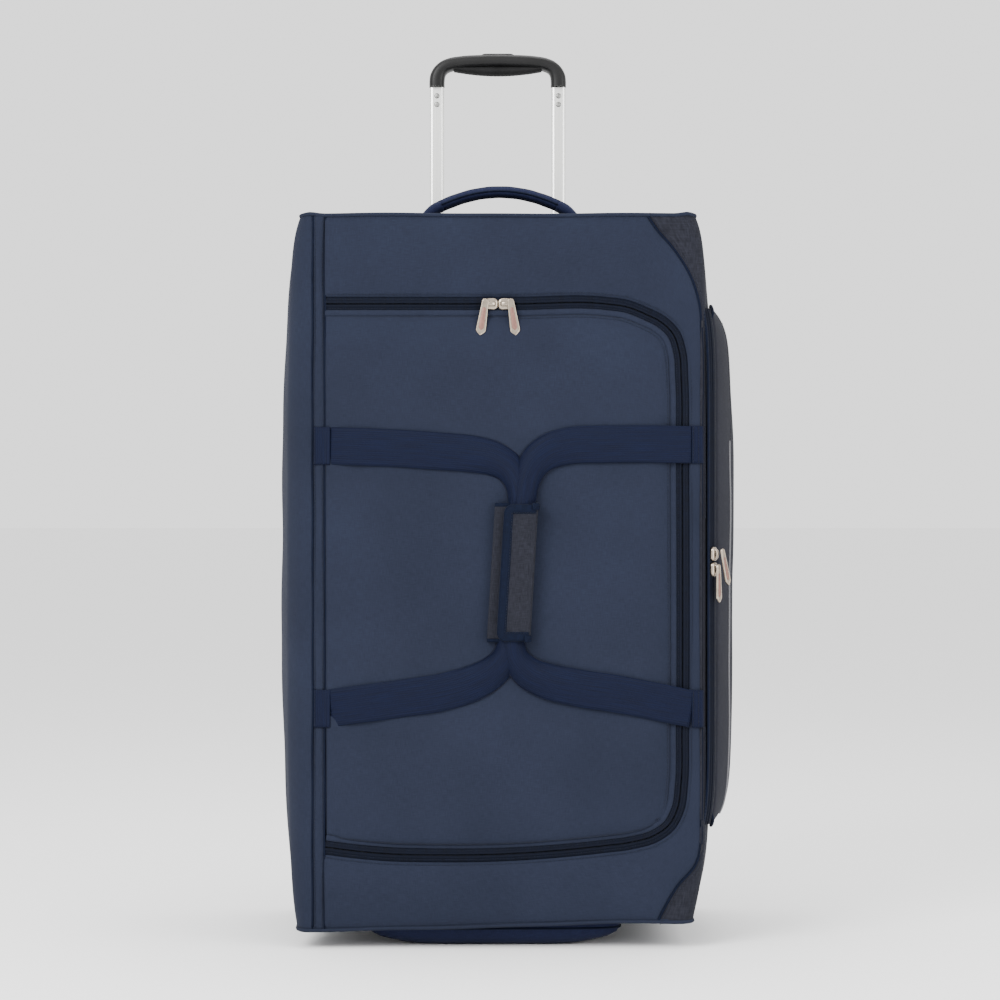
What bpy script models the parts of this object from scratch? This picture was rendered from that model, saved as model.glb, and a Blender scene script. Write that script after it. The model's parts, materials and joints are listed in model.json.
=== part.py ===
"""Rolling duffel bag that stands on two rear wheels and a padded front foot.

The bag frame has X across the bag (0 midway between the trolley tubes), Y from the lid side (negative)
to the trolley side (positive), and Z up from the floor. An empty shifts that frame so that the finished
object's bounding box is centred on the world's origin. Sizes are in metres.
"""

import math

import bmesh
import bpy
from mathutils import Euler, Matrix, Vector

# ---- driving dimensions ----------------------------------------------------------------------------
DEPTH = 0.300                 # front seam plane to back panel
FRONT, BACK = -DEPTH / 2, DEPTH / 2
BODY_BOTTOM, BODY_TOP = 0.027, 0.734
HALF_WIDTH = 0.2065           # side walls at the two ends of the bag
SIDE_BULGE = 0.016            # extra width of a side wall halfway up
FABRIC = 0.003                # padded fabric panels
GAP = 0.0003                  # air between pieces that touch
LEFT_SEAM = -0.1845           # front seam of the left side wall
LID_HINGE_X = -0.1725         # seam that the lid folds about
ZIP_TOP, ZIP_BOTTOM = 0.645, 0.100
ZIP_RIGHT, ZIP_RADIUS = 0.185, 0.040
TAPE_WIDTH = 0.006            # each half of the zip, from its teeth to its panel
LID_CROWN = 0.006
WEBBING = 0.038
WEBBING_THICK = 0.0018
TUBE_X, TUBE_Y = 0.0665, BACK - 0.012
INNER_TUBE = (0.0155, 0.0105, 0.0011)   # across, deep, wall
OUTER_TUBE = (0.0190, 0.0140, 0.0013)
TUBE_TOP, INNER_BOTTOM = 0.898, 0.292
OUTER_TUBE_SPAN = (0.098, 0.7300)
RIVET_RADIUS = 0.0026
RIVET_HEIGHTS = (("upper", 0.8912), ("lower", 0.8818))
GRIP_BOTTOM, GRIP_TOP = 0.901, 0.936
GRIP_HALF, GRIP_LEG, GRIP_DEEP = 0.075, 0.0172, 0.024
WHEEL_RADIUS, WHEEL_WIDE = 0.038, 0.026
WHEEL_X, WHEEL_Y = 0.179, BACK - 0.030
POCKET_FRONT, POCKET_BACK = FRONT + 0.0135, FRONT + 0.2345
POCKET_LOW, POCKET_HIGH = 0.120, 0.645
POCKET_BULGE, POCKET_LIP = 0.0135, 0.0041
POCKET_HINGE = (0.2212, FRONT + 0.2360)
POCKET_ZIP = (0.2188, FRONT + 0.0082)
POCKET_ZIP_FACING = math.radians(-38)   # the zip's outward normal, measured from +X
SHIFT = Vector((-0.010362, 0.006650, 0.0))   # bag frame to world

# ---- colours ---------------------------------------------------------------------------------------
NAVY = (0.040, 0.050, 0.085)
WEBBING_NAVY = (0.014, 0.022, 0.054)
CHARCOAL = (0.046, 0.051, 0.066)
BLACK = (0.020, 0.020, 0.020)
SILVER = (0.80, 0.80, 0.78)
CHAMPAGNE = (0.62, 0.52, 0.42)
GREY_RUBBER = (0.045, 0.045, 0.048)


def clear_scene():
    for obj in list(bpy.data.objects):
        bpy.data.objects.remove(obj)


def make_collection(name):
    found = bpy.data.collections.new(name)
    bpy.context.scene.collection.children.link(found)
    return found


def material(name, colour, roughness, metallic=0.0):
    made = bpy.data.materials.get(name) or bpy.data.materials.new(name)
    made.use_nodes = True
    shader = made.node_tree.nodes["Principled BSDF"]
    shader.inputs["Base Color"].default_value = (*colour, 1.0)
    shader.inputs["Roughness"].default_value = roughness
    shader.inputs["Metallic"].default_value = metallic
    return made


def add(name, data, look, location=(0, 0, 0), rotation=(0, 0, 0), pivot=None):
    """Links an object under the bag frame, or under a pivot empty with its place given from that pivot."""
    obj = bpy.data.objects.new(name, data)
    PARTS.objects.link(obj)
    obj.parent = pivot or BAG
    origin = pivot.location if pivot else Vector()
    obj.location = Vector(location) - origin
    obj.rotation_euler = Euler(rotation)
    if look is not None:
        obj.data.materials.append(look)
    return obj


def pivot_at(name, location):
    """An empty on a joint's axis. The pieces that turn or slide there are its children."""
    empty = bpy.data.objects.new(name, None)
    PARTS.objects.link(empty)
    empty.parent = BAG
    empty.location = location
    return empty


def rounded_rectangle(wide, high, radius, steps=3, centre=(0, 0)):
    """Corner arcs joined by straight sides, anticlockwise."""
    points = []
    for quarter, (sx, sy) in enumerate(((1, 1), (-1, 1), (-1, -1), (1, -1))):
        cx = centre[0] + sx * (wide / 2 - radius)
        cy = centre[1] + sy * (high / 2 - radius)
        for k in range(steps + 1):
            angle = math.radians(90 * quarter + 90 * k / steps)
            points.append((cx + radius * math.cos(angle), cy + radius * math.sin(angle)))
    return points


def arc(centre, radius, start, end, steps):
    """Points on a circle, with the angles in degrees."""
    angles = [math.radians(start + (end - start) * k / steps) for k in range(steps + 1)]
    return [(centre[0] + radius * math.cos(a), centre[1] + radius * math.sin(a)) for a in angles]


def outline_curve(name, outlines, thick):
    """A flat filled outline, with any further outlines as holes, extruded by half its thickness each way."""
    curve = bpy.data.curves.new(name, "CURVE")
    curve.dimensions = "2D"
    curve.fill_mode = "BOTH"
    curve.extrude = thick / 2
    for outline in outlines:
        spline = curve.splines.new("POLY")
        spline.points.add(len(outline) - 1)
        for point, (x, y) in zip(spline.points, outline):
            point.co = (x, y, 0, 1)
        spline.use_cyclic_u = True
    return curve


UPRIGHT = (math.radians(90), 0, 0)   # an outline's y becomes the bag's Z, its thickness lies along Y


def upright_plate(name, outlines, y_front, thick, look, pivot=None):
    """A plate facing the lid side, its outline given as (X, Z) points in the bag frame."""
    origin = pivot.location if pivot else Vector()
    moved = [[(x - origin.x, z - origin.z) for x, z in outline] for outline in outlines]
    curve = outline_curve(name, moved, thick)
    return add(name, curve, look, (origin.x, y_front + thick / 2, origin.z), UPRIGHT, pivot)


def level_plate(name, outlines, z_low, thick, look, pivot=None):
    """A plate lying level, or a tube standing up, its outline given as (X, Y) points in the bag frame."""
    origin = pivot.location if pivot else Vector()
    moved = [[(x - origin.x, y - origin.y) for x, y in outline] for outline in outlines]
    curve = outline_curve(name, moved, thick)
    return add(name, curve, look, (origin.x, origin.y, z_low + thick / 2), (0, 0, 0), pivot)


def box_mesh(name, size):
    mesh = bpy.data.meshes.new(name)
    work = bmesh.new()
    bmesh.ops.create_cube(work, size=1.0)
    bmesh.ops.scale(work, vec=size, verts=work.verts)
    work.to_mesh(mesh)
    work.free()
    return mesh


def box(name, low, high, look, bevel=0.0, pivot=None):
    low, high = Vector(low), Vector(high)
    obj = add(name, box_mesh(name, high - low), look, (low + high) / 2, pivot=pivot)
    if bevel:
        soften = obj.modifiers.new("edges", "BEVEL")
        soften.width = bevel
        soften.segments = 2
    return obj


def as_mesh(obj):
    """Replaces a curve object by its closed mesh, so that it can be cut or take a Bevel."""
    graph = bpy.context.evaluated_depsgraph_get()
    mesh = bpy.data.meshes.new_from_object(obj.evaluated_get(graph))
    work = bmesh.new()
    work.from_mesh(mesh)
    bmesh.ops.remove_doubles(work, verts=work.verts, dist=0.00001)
    bmesh.ops.recalc_face_normals(work, faces=work.faces)
    work.to_mesh(mesh)
    work.free()
    name, parent = obj.name, obj.parent
    made = bpy.data.objects.new(name + "_mesh", mesh)
    PARTS.objects.link(made)
    made.parent = parent
    made.location, made.rotation_euler = obj.location, obj.rotation_euler
    bpy.data.objects.remove(obj)
    made.name = name
    return made


def cutter_box(name, low, high):
    low, high = Vector(low), Vector(high)
    return as_cutter(name, box_mesh(name, high - low), (low + high) / 2)


def cutter_cylinder(name, centre, radius, length, steps=32, along="X"):
    mesh = bpy.data.meshes.new(name)
    work = bmesh.new()
    bmesh.ops.create_cone(
        work, cap_ends=True, segments=steps, radius1=radius, radius2=radius, depth=length
    )
    across = "Y" if along == "X" else "X"
    bmesh.ops.rotate(work, matrix=Matrix.Rotation(math.radians(90), 3, across), verts=work.verts)
    work.to_mesh(mesh)
    work.free()
    return as_cutter(name, mesh, centre)


def as_cutter(name, mesh, location):
    obj = bpy.data.objects.new(name, mesh)
    CUTTERS.objects.link(obj)
    obj.parent = BAG
    obj.location = location
    obj.hide_render = True
    obj.display_type = "WIRE"
    return obj


def cut(obj, *cutters):
    for cutter in cutters:
        boolean = obj.modifiers.new(cutter.name, "BOOLEAN")
        boolean.operation = "DIFFERENCE"
        boolean.object = cutter


def surface(name, across, up, place, thick, look, pivot=None):
    """A grid bent to place(u, v), both from 0 to 1, and given a wall inwards by Solidify."""
    origin = pivot.location if pivot else Vector()
    mesh = bpy.data.meshes.new(name)
    work = bmesh.new()
    bmesh.ops.create_grid(work, x_segments=across, y_segments=up, size=0.5)
    for vertex in work.verts:
        vertex.co = Vector(place(vertex.co.x + 0.5, vertex.co.y + 0.5)) - origin
    work.to_mesh(mesh)
    work.free()
    obj = add(name, mesh, look, origin, pivot=pivot)
    wall = obj.modifiers.new("wall", "SOLIDIFY")
    wall.thickness = thick
    wall.offset = -1.0
    wall.use_even_offset = True
    return obj


def turned(name, profile, centre, look, steps=32, pivot=None):
    """A closed ring profile of (radius, place along X) points, turned about X through centre."""
    mesh = bpy.data.meshes.new(name)
    work = bmesh.new()
    verts = [work.verts.new((x, 0.0, radius)) for radius, x in profile]
    for a, b in zip(verts, verts[1:] + verts[:1]):
        work.edges.new((a, b))
    work.to_mesh(mesh)
    work.free()
    obj = add(name, mesh, look, centre, pivot=pivot)
    screw = obj.modifiers.new("turn", "SCREW")
    screw.axis = "X"
    screw.steps = screw.render_steps = steps
    screw.use_merge_vertices = True
    screw.merge_threshold = 0.00001
    screw.use_normal_flip = True
    return obj


def rod(name, low, high, radius, look, steps=12, pivot=None):
    """A straight round bar as a two-point curve with filled caps."""
    origin = pivot.location if pivot else Vector()
    curve = bpy.data.curves.new(name, "CURVE")
    curve.dimensions = "3D"
    curve.bevel_depth = radius
    curve.bevel_resolution = steps // 4
    curve.use_fill_caps = True
    spline = curve.splines.new("POLY")
    spline.points.add(1)
    for point, place in zip(spline.points, (low, high)):
        point.co = (*(Vector(place) - origin), 1)
    return add(name, curve, look, origin, pivot=pivot)


# ---- shapes shared by several pieces ---------------------------------------------------------------
def swell(share, power=2.5):
    """0 at both ends of a span, 1 halfway, flatter in the middle."""
    return 1 - abs(2 * share - 1) ** power


def wall_x(y, z):
    """How far a side wall stands from the bag's middle plane."""
    up = (z - BODY_BOTTOM) / (BODY_TOP - BODY_BOTTOM)
    back = (y - FRONT) / DEPTH
    return HALF_WIDTH + SIDE_BULGE * swell(up) * max(0.0, swell(back, 3.0))


def side_profile(u, front_radius, back_radius=0.022):
    """The wall's plan as (inset, y): an arc from the front seam, the bulging side, an arc to the back."""
    share_front, share_back = (0.18, 0.82) if front_radius > 0.01 else (0.0, 0.82)
    if u < share_front:
        angle = math.pi / 2 * u / share_front
        inset, y = front_radius * (1 - math.sin(angle)), FRONT + front_radius * (1 - math.cos(angle))
    elif u > share_back:
        angle = math.pi / 2 * (u - share_back) / (1 - share_back)
        inset, y = back_radius * (1 - math.cos(angle)), BACK - back_radius * (1 - math.sin(angle))
    else:
        low = FRONT + (front_radius if share_front else 0.0)
        inset, y = 0.0, low + (BACK - back_radius - low) * (u - share_front) / (share_back - share_front)
    return inset, y


def side_wall(name, side, front_radius, look):
    low, high = BODY_BOTTOM + FABRIC + GAP + 0.0002, BODY_TOP - FABRIC - GAP - 0.0002

    def place(u, v):
        plan_u = u if side > 0 else 1 - u
        inset, y = side_profile(plan_u, front_radius)
        z = low + (high - low) * v
        return side * (wall_x(y, z) - inset), y, z

    return surface(name, 17, 8, place, FABRIC, look)


def zip_outline(offset, left):
    """The lid's U outline, grown by offset from the line of the zip's teeth, open towards the left seam."""
    radius = ZIP_RADIUS + offset
    right, top, bottom = ZIP_RIGHT + offset, ZIP_TOP + offset, ZIP_BOTTOM - offset
    return [
        (left, bottom),
        *arc((right - radius, bottom + radius), radius, -90, 0, 5),
        *arc((right - radius, top - radius), radius, 0, 90, 5),
        (left, top),
    ]


def u_strip(inner, outer, left):
    """The strip between two offsets of the zip's line, as one outline."""
    return zip_outline(outer, left) + zip_outline(inner, left)[::-1]


def mirrored_name(stem, side):
    return f"{stem}_{'right' if side > 0 else 'left'}"


# ---- the bag's body --------------------------------------------------------------------------------
def soft_body():
    navy = material("navy_fabric", NAVY, 0.8)
    charcoal = material("charcoal_fabric", CHARCOAL, 0.85)
    board = material("board", BLACK, 0.6)
    left = side_wall("side_panel_left", -1, 0.022, navy)
    right = side_wall("side_panel_right", 1, 0.0, charcoal)
    end_plan = rounded_rectangle(2 * HALF_WIDTH - 0.001, DEPTH - 0.001, 0.022, 4)
    tube_holes = [
        rounded_rectangle(0.0163, 0.0113, 0.0025, 2, (side * TUBE_X, TUBE_Y)) for side in (-1, 1)
    ]
    level_plate("end_panel_top", [end_plan, *tube_holes], BODY_TOP - FABRIC, FABRIC, navy)
    bottom = as_mesh(level_plate("end_panel_bottom", [end_plan], BODY_BOTTOM, FABRIC, navy))
    back_low = HOUSING_TOP + 0.0065
    back_high = BODY_TOP - FABRIC - 0.0006
    half_back = HALF_WIDTH - 0.0235
    upright_plate(
        "back_panel",
        [[(-half_back, back_low), (half_back, back_low), (half_back, back_high), (-half_back, back_high)]],
        BACK - 0.0025,
        0.0025,
        navy,
    )
    box(
        "back_board",
        (-0.192, BACK - 0.0240, BODY_BOTTOM + 0.006),
        (0.192, BACK - 0.0210, BODY_TOP - 0.006),
        board,
    )
    side_space = 0.0012
    for side, wall in ((-1, left), (1, right)):
        inner = WHEEL_X - HOUSING_HALF - side_space
        outer = HALF_WIDTH + SIDE_BULGE + 0.01
        ends = sorted((side * inner, side * outer))
        cutter = cutter_box(
            mirrored_name("housing_space", side),
            (ends[0], HOUSING_FRONT - side_space, 0.0),
            (ends[1], BACK + 0.02, HOUSING_TOP + side_space),
        )
        cut(wall, cutter)
        cut(bottom, cutter)
        cut(bpy.data.objects["back_board"], cutter)
    z_low, z_high = BODY_BOTTOM + FABRIC + 0.0005, BODY_TOP - FABRIC - 0.0005
    seam_right = HALF_WIDTH - FABRIC - 0.0010
    opening = zip_outline(TAPE_WIDTH + GAP, LID_HINGE_X + 0.0006)
    front = [
        (LID_HINGE_X + 0.0006, z_low),
        (seam_right, z_low),
        (seam_right, z_high),
        (LID_HINGE_X + 0.0006, z_high),
        *opening[::-1],
    ]
    upright_plate("front_panel", [front], FRONT, FABRIC, navy)
    box(
        "front_band",
        (LEFT_SEAM + 0.0013, FRONT, z_low),
        (LID_HINGE_X - 0.0004, FRONT + FABRIC, z_high),
        navy,
    )
    patch_high = [(0.2035, 0.722), (0.1575, 0.717), *arc((0.100, 0.640), 0.0965, 50, 8, 4), (0.2035, 0.650)]
    patch_low = [(0.2035, 0.0310), (0.2035, 0.088), *arc((0.2635, 0.0300), 0.0900, 140, 179, 4)]
    for name, outline in (("corner_patch_upper", patch_high), ("corner_patch_lower", patch_low)):
        upright_plate(name, [outline[::-1]], FRONT - 0.0010 - GAP, 0.0010, charcoal)
    tape = u_strip(0.0007, TAPE_WIDTH, LID_HINGE_X + 0.0008)
    zip_navy = material("zip_navy", WEBBING_NAVY, 0.7)
    upright_plate("main_zip_tape_frame", [tape], FRONT + 0.0008, 0.0012, zip_navy)


def standing_foot():
    top, low = BODY_BOTTOM - GAP, 0.0
    outline = [
        (-0.1325, top), (-0.1325, 0.0180), (-0.1255, 0.0110), (-0.1030, 0.0080), (-0.0860, 0.0020),
        (-0.0700, low), (0.0720, low), (0.1000, 0.0050), (0.1195, 0.0110), (0.1245, 0.0190), (0.1245, top),
    ]
    fabric = material("foot_fabric", WEBBING_NAVY, 0.8)
    upright_plate("standing_foot", [outline], FRONT + 0.016, 0.060, fabric)


def top_carry_handle():
    """A padded arch, thick in its middle and pinched to narrow ends, so that it folds down either way."""
    axis = Vector((0.001, 0.0, BODY_TOP + 0.0028))
    pivot = pivot_at("top_handle_axis", axis)
    half, rise, end = 0.0765, 0.0333, 0.0024
    thick, deep = 0.0065, 0.0130
    radius = (half**2 + rise**2) / (2 * rise)
    reach = math.asin(half / radius)
    along, around = 18, 12
    mesh = bpy.data.meshes.new("top_handle")
    work = bmesh.new()
    rings = []
    for k in range(along + 1):
        angle = reach * (2 * k / along - 1)
        out = Vector((math.sin(angle), 0.0, math.cos(angle)))
        centre = out * radius + Vector((0.0, 0.0, rise - radius))
        up = min(thick, end + 0.45 * centre.z)
        across = min(deep, end + 0.55 * centre.z)
        ring = []
        for j in range(around):
            turn = 2 * math.pi * j / around
            sideways = Vector((0, across * math.cos(turn), 0))
            ring.append(work.verts.new(centre + out * up * math.sin(turn) + sideways))
        rings.append(ring)
    for first, second in zip(rings, rings[1:]):
        for j in range(around):
            work.faces.new((first[j], first[(j + 1) % around], second[(j + 1) % around], second[j]))
    work.faces.new(rings[0])
    work.faces.new(rings[-1])
    bmesh.ops.recalc_face_normals(work, faces=work.faces)
    work.to_mesh(mesh)
    work.free()
    add("top_handle", mesh, material("handle_fabric", WEBBING_NAVY, 0.75), axis, pivot=pivot)


# ---- wheels ----------------------------------------------------------------------------------------
HOUSING_HALF = 0.0270
HOUSING_FRONT = BACK - 0.0850
HOUSING_TOP = 0.1180
WELL_HALF = WHEEL_WIDE / 2 + 0.002


def wheel_corner(side):
    plastic = material("black_plastic", BLACK, 0.5)
    rubber = material("wheel_rubber", GREY_RUBBER, 0.7)
    steel = material("steel", SILVER, 0.3, 1.0)
    centre = Vector((side * WHEEL_X, WHEEL_Y, WHEEL_RADIUS))
    housing = box(
        mirrored_name("wheel_housing", side),
        (centre.x - HOUSING_HALF, HOUSING_FRONT, 0.0220),
        (centre.x + HOUSING_HALF, BACK + 0.0040, HOUSING_TOP),
        plastic,
        bevel=0.006,
    )
    well = WHEEL_RADIUS + 0.0045
    mouth = cutter_box(
        mirrored_name("wheel_mouth", side),
        (centre.x - WELL_HALF, centre.y - well, -0.01),
        (centre.x + WELL_HALF, centre.y + well + 0.02, centre.z),
    )
    arch = cutter_cylinder(mirrored_name("wheel_arch", side), centre, well, 2 * WELL_HALF)
    bore = cutter_cylinder(mirrored_name("axle_bore", side), centre, 0.0043, 0.0700, 16)
    cut(housing, mouth, arch, bore)
    pivot = pivot_at(mirrored_name("wheel_axis", side), centre)
    half = WHEEL_WIDE / 2
    tyre = [
        (0.0265, -half), (0.0350, -half), (0.0371, -half + 0.0022), (WHEEL_RADIUS, -half + 0.0065),
        (WHEEL_RADIUS, half - 0.0065), (0.0371, half - 0.0022), (0.0350, half), (0.0265, half),
    ]
    turned(mirrored_name("tyre", side), tyre, centre, rubber, pivot=pivot)
    hub = [
        (0.0113, -half + 0.0010), (0.0262, -half + 0.0010), (0.0262, half - 0.0010), (0.0113, half - 0.0010),
    ]
    turned(mirrored_name("wheel_hub", side), hub, centre, plastic, pivot=pivot)
    bearing = [(0.0043, -0.0100), (0.0110, -0.0100), (0.0110, 0.0100), (0.0043, 0.0100)]
    turned(mirrored_name("wheel_bearing", side), bearing, centre, steel, 24, pivot)
    reach = Vector((HOUSING_HALF - 0.0004, 0, 0))
    rod(mirrored_name("wheel_axle", side), centre - reach, centre + reach, 0.0040, steel, 16)


def rear_guards():
    plastic = material("black_plastic", BLACK, 0.5)
    inner = WHEEL_X - HOUSING_HALF - 0.0005
    upright_plate(
        "kick_plate",
        [[(-inner, BODY_BOTTOM + 0.0036), (inner, BODY_BOTTOM + 0.0036), (inner, 0.1240), (-inner, 0.1240)]],
        BACK - 0.0040,
        0.0060,
        plastic,
    )
    for side in (-1, 1):
        ends = sorted((side * 0.1240, side * 0.1440))
        rail = [
            (ends[0], 0.1420), (ends[0] + 0.008, 0.1340), (ends[1] - 0.008, 0.1340), (ends[1], 0.1420),
            (ends[1], 0.6900), (ends[1] - 0.008, 0.6980), (ends[0] + 0.008, 0.6980), (ends[0], 0.6900),
        ]
        upright_plate(mirrored_name("rear_skid", side), [rail], BACK + GAP, 0.0082, plastic)


# ---- trolley ---------------------------------------------------------------------------------------
def tube(name, side, size, low, high, look, pivot=None):
    across, deep, wall = size
    centre = (side * TUBE_X, TUBE_Y)
    outer = rounded_rectangle(across, deep, 0.0030, 3, centre)
    inner = rounded_rectangle(across - 2 * wall, deep - 2 * wall, 0.0020, 3, centre)
    return level_plate(name, [outer, inner], low, high - low, look, pivot)


def trolley_fixed():
    aluminium = material("aluminium", SILVER, 0.35, 1.0)
    plastic = material("black_plastic", BLACK, 0.5)
    for side in (-1, 1):
        tube(mirrored_name("trolley_outer_tube", side), side, OUTER_TUBE, *OUTER_TUBE_SPAN, aluminium)
    holes = [rounded_rectangle(0.0161, 0.0111, 0.0025, 2, (s * TUBE_X, TUBE_Y)) for s in (-1, 1)]
    plan = rounded_rectangle(0.186, 0.034, 0.008, 4, (0, TUBE_Y - 0.006))
    level_plate("trolley_bezel", [plan, *holes], BODY_TOP + GAP, 0.0050, plastic)
    box(
        "trolley_base_bracket",
        (-0.082, BACK - 0.0206, 0.0800),
        (0.082, BACK - 0.0045, OUTER_TUBE_SPAN[0] - GAP),
        plastic,
    )


def trolley_moving():
    aluminium = material("aluminium", SILVER, 0.35, 1.0)
    plastic = material("black_plastic", BLACK, 0.5)
    steel = material("steel", SILVER, 0.3, 1.0)
    pivot = pivot_at("trolley_axis", (0.0, TUBE_Y, GRIP_BOTTOM))
    face = TUBE_Y - INNER_TUBE[1] / 2
    for side in (-1, 1):
        inner = as_mesh(tube(
            mirrored_name("trolley_inner_tube", side), side, INNER_TUBE,
            INNER_BOTTOM, GRIP_BOTTOM - GAP, aluminium, pivot,
        ))
        block = rounded_rectangle(0.0155, 0.0105, 0.0025, 2, (side * TUBE_X, TUBE_Y))
        level_plate(mirrored_name("lock_block", side), [block], INNER_BOTTOM - 0.030, 0.0297, plastic, pivot)
        for row, z in RIVET_HEIGHTS:
            name = f"{mirrored_name('trolley_rivet', side)}_{row}"
            place = Vector((side * TUBE_X, face, z))
            cut(inner, cutter_cylinder(name + "_hole", place, RIVET_RADIUS + GAP, 0.0060, 16, "Y"))
            low, high = place - Vector((0, 0.0001, 0)), place + Vector((0, 0.0014, 0))
            rod(name, low, high, RIVET_RADIUS, steel, 12, pivot)
    grip_pieces(pivot, plastic)


def grip_pieces(pivot, plastic):
    """A rounded bridge over the two tubes, with a finger pad under it and a pocket for the button."""
    corner, inner_corner = 0.026, 0.018
    shoulder, under = GRIP_TOP - 0.0015, 0.9228
    inner_half = GRIP_HALF - GRIP_LEG
    outline = [
        (GRIP_HALF, GRIP_BOTTOM),
        *arc((GRIP_HALF - corner, shoulder - corner), corner, 0, 90, 6),
        (0.0, GRIP_TOP),
        *arc((corner - GRIP_HALF, shoulder - corner), corner, 90, 180, 6),
        (-GRIP_HALF, GRIP_BOTTOM),
        (-inner_half, GRIP_BOTTOM),
        *arc((inner_corner - inner_half, under - inner_corner), inner_corner, 180, 90, 5),
        *arc((inner_half - inner_corner, under - inner_corner), inner_corner, 90, 0, 5),
        (inner_half, GRIP_BOTTOM),
    ]
    front = TUBE_Y - GRIP_DEEP / 2
    grip = as_mesh(upright_plate("trolley_grip", [outline], front, GRIP_DEEP, plastic, pivot))
    cut(grip, cutter_box(
        "button_pocket",
        (-0.0165, TUBE_Y - 0.0075, 0.9255),
        (0.0165, TUBE_Y + 0.0075, GRIP_TOP + 0.01),
    ))
    pad_half, pad_drop = 0.0400, 0.0092
    radius = (pad_half**2 + pad_drop**2) / (2 * pad_drop)
    reach = math.degrees(math.asin(pad_half / radius))
    pad = arc((0.0, under - GAP - pad_drop + radius), radius, 270 - reach, 270 + reach, 10)
    upright_plate("grip_finger_pad", [pad], front + 0.002, GRIP_DEEP - 0.004, plastic, pivot)


def release_button():
    plastic = material("black_plastic", BLACK, 0.5)
    steel = material("steel", SILVER, 0.3, 1.0)
    pivot = pivot_at("button_axis", (0.0, TUBE_Y, GRIP_TOP))
    box(
        "release_button",
        (-0.0158, TUBE_Y - 0.0068, 0.9318),
        (0.0158, TUBE_Y + 0.0068, GRIP_TOP + 0.0018),
        plastic,
        bevel=0.0010,
        pivot=pivot,
    )
    for side in (-1, 1):
        x = side * TUBE_X
        rod(
            mirrored_name("push_rod", side),
            (x, TUBE_Y, INNER_BOTTOM + 0.006), (x, TUBE_Y, TUBE_TOP - 0.0010), 0.0025, steel, 8, pivot,
        )
    button_spring(steel, pivot)


def button_spring(look, pivot):
    """Four turns of wire between the pocket's floor and the button."""
    turns, per_turn, radius = 4, 12, 0.0042
    low, high = 0.9262, 0.9310
    curve = bpy.data.curves.new("button_spring", "CURVE")
    curve.dimensions = "3D"
    curve.bevel_depth = 0.0004
    curve.bevel_resolution = 1
    curve.use_fill_caps = True
    spline = curve.splines.new("POLY")
    count = turns * per_turn
    spline.points.add(count)
    for k, point in enumerate(spline.points):
        angle = 2 * math.pi * k / per_turn
        z = low + (high - low) * k / count
        point.co = (radius * math.cos(angle), radius * math.sin(angle), z - pivot.location.z, 1)
    add("button_spring", curve, look, pivot.location, pivot=pivot)


# ---- lid, zips and grab handles --------------------------------------------------------------------
def lid_front(x, z):
    """The lid's outer face: a low crown that fades to nothing at its edges."""
    across = (x - LID_HINGE_X) / (ZIP_RIGHT - LID_HINGE_X)
    up = (z - ZIP_BOTTOM) / (ZIP_TOP - ZIP_BOTTOM)
    return FRONT - LID_CROWN * max(0.0, swell(across)) * max(0.0, swell(up))


def lid():
    navy = material("navy_fabric", NAVY, 0.8)
    pivot = pivot_at("lid_axis", (LID_HINGE_X, FRONT, (ZIP_TOP + ZIP_BOTTOM) / 2))
    inset = TAPE_WIDTH + 0.0009
    low_x, high_x = LID_HINGE_X + 0.0012, ZIP_RIGHT - inset
    low_z, high_z = ZIP_BOTTOM + inset, ZIP_TOP - inset
    radius = ZIP_RADIUS - inset

    def place(u, v):
        x, z = low_x + (high_x - low_x) * u, low_z + (high_z - low_z) * v
        over_x = x - (high_x - radius)
        for edge in (low_z + radius, high_z - radius):
            over_z = (edge - z) if edge < 0.3 else (z - edge)
            if over_x > 0 and over_z > 0:
                far = max(over_x, over_z)
                scale = far / math.hypot(over_x, over_z)
                x = high_x - radius + over_x * scale
                z = edge + (z - edge) * scale
        return x, lid_front(x, z), z

    surface("lid_panel", 12, 16, place, FABRIC, navy, pivot)
    tape = u_strip(-TAPE_WIDTH, -0.0007, LID_HINGE_X + 0.0012)
    upright_plate(
        "main_zip_tape_lid", [tape], FRONT + 0.0008, 0.0012, material("zip_navy", WEBBING_NAVY, 0.7), pivot
    )


def tag_outline(x, top, long, wide, lean, tip=0.005):
    """A zip pull: a bar with a pointed tip that leans by so many degrees."""
    half, turn = wide / 2, math.radians(lean)
    shape = [(half * 0.7, 0), (half, tip - long), (0, -long), (-half, tip - long), (-half * 0.7, 0)]
    return [
        (x + a * math.cos(turn) - b * math.sin(turn), top + a * math.sin(turn) + b * math.cos(turn))
        for a, b in shape
    ]


def main_sliders():
    metal = material("champagne_metal", CHAMPAGNE, 0.3, 1.0)
    middle = 0.0005
    for side in (-1, 1):
        slide = pivot_at(mirrored_name("main_slider_axis", side), (middle + side * 0.0080, FRONT, ZIP_TOP))
        box(
            mirrored_name("main_slider", side),
            (middle + side * 0.0080 - 0.0075, FRONT - 0.0045, ZIP_TOP - 0.0050),
            (middle + side * 0.0080 + 0.0075, FRONT - GAP, ZIP_TOP + 0.0050),
            metal, bevel=0.0012, pivot=slide,
        )
        eye = Vector((middle + side * 0.0125, FRONT - 0.0060, ZIP_TOP + 0.0025))
        swing = pivot_at(mirrored_name("main_pull_axis", side), eye)
        pull = tag_outline(eye.x, eye.z, 0.0345, 0.0095, side * 7)
        upright_plate(mirrored_name("main_pull", side), [pull], FRONT - 0.0068, 0.0018, metal, swing)


RIGHT_TAB_X = 0.1950
FOLDED = 0.0250               # the webbing's width where it is folded inside the grip
GRIP_LOW, GRIP_HIGH, GRIP_SLOPE = 0.3120, 0.4460, 0.0600
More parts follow.
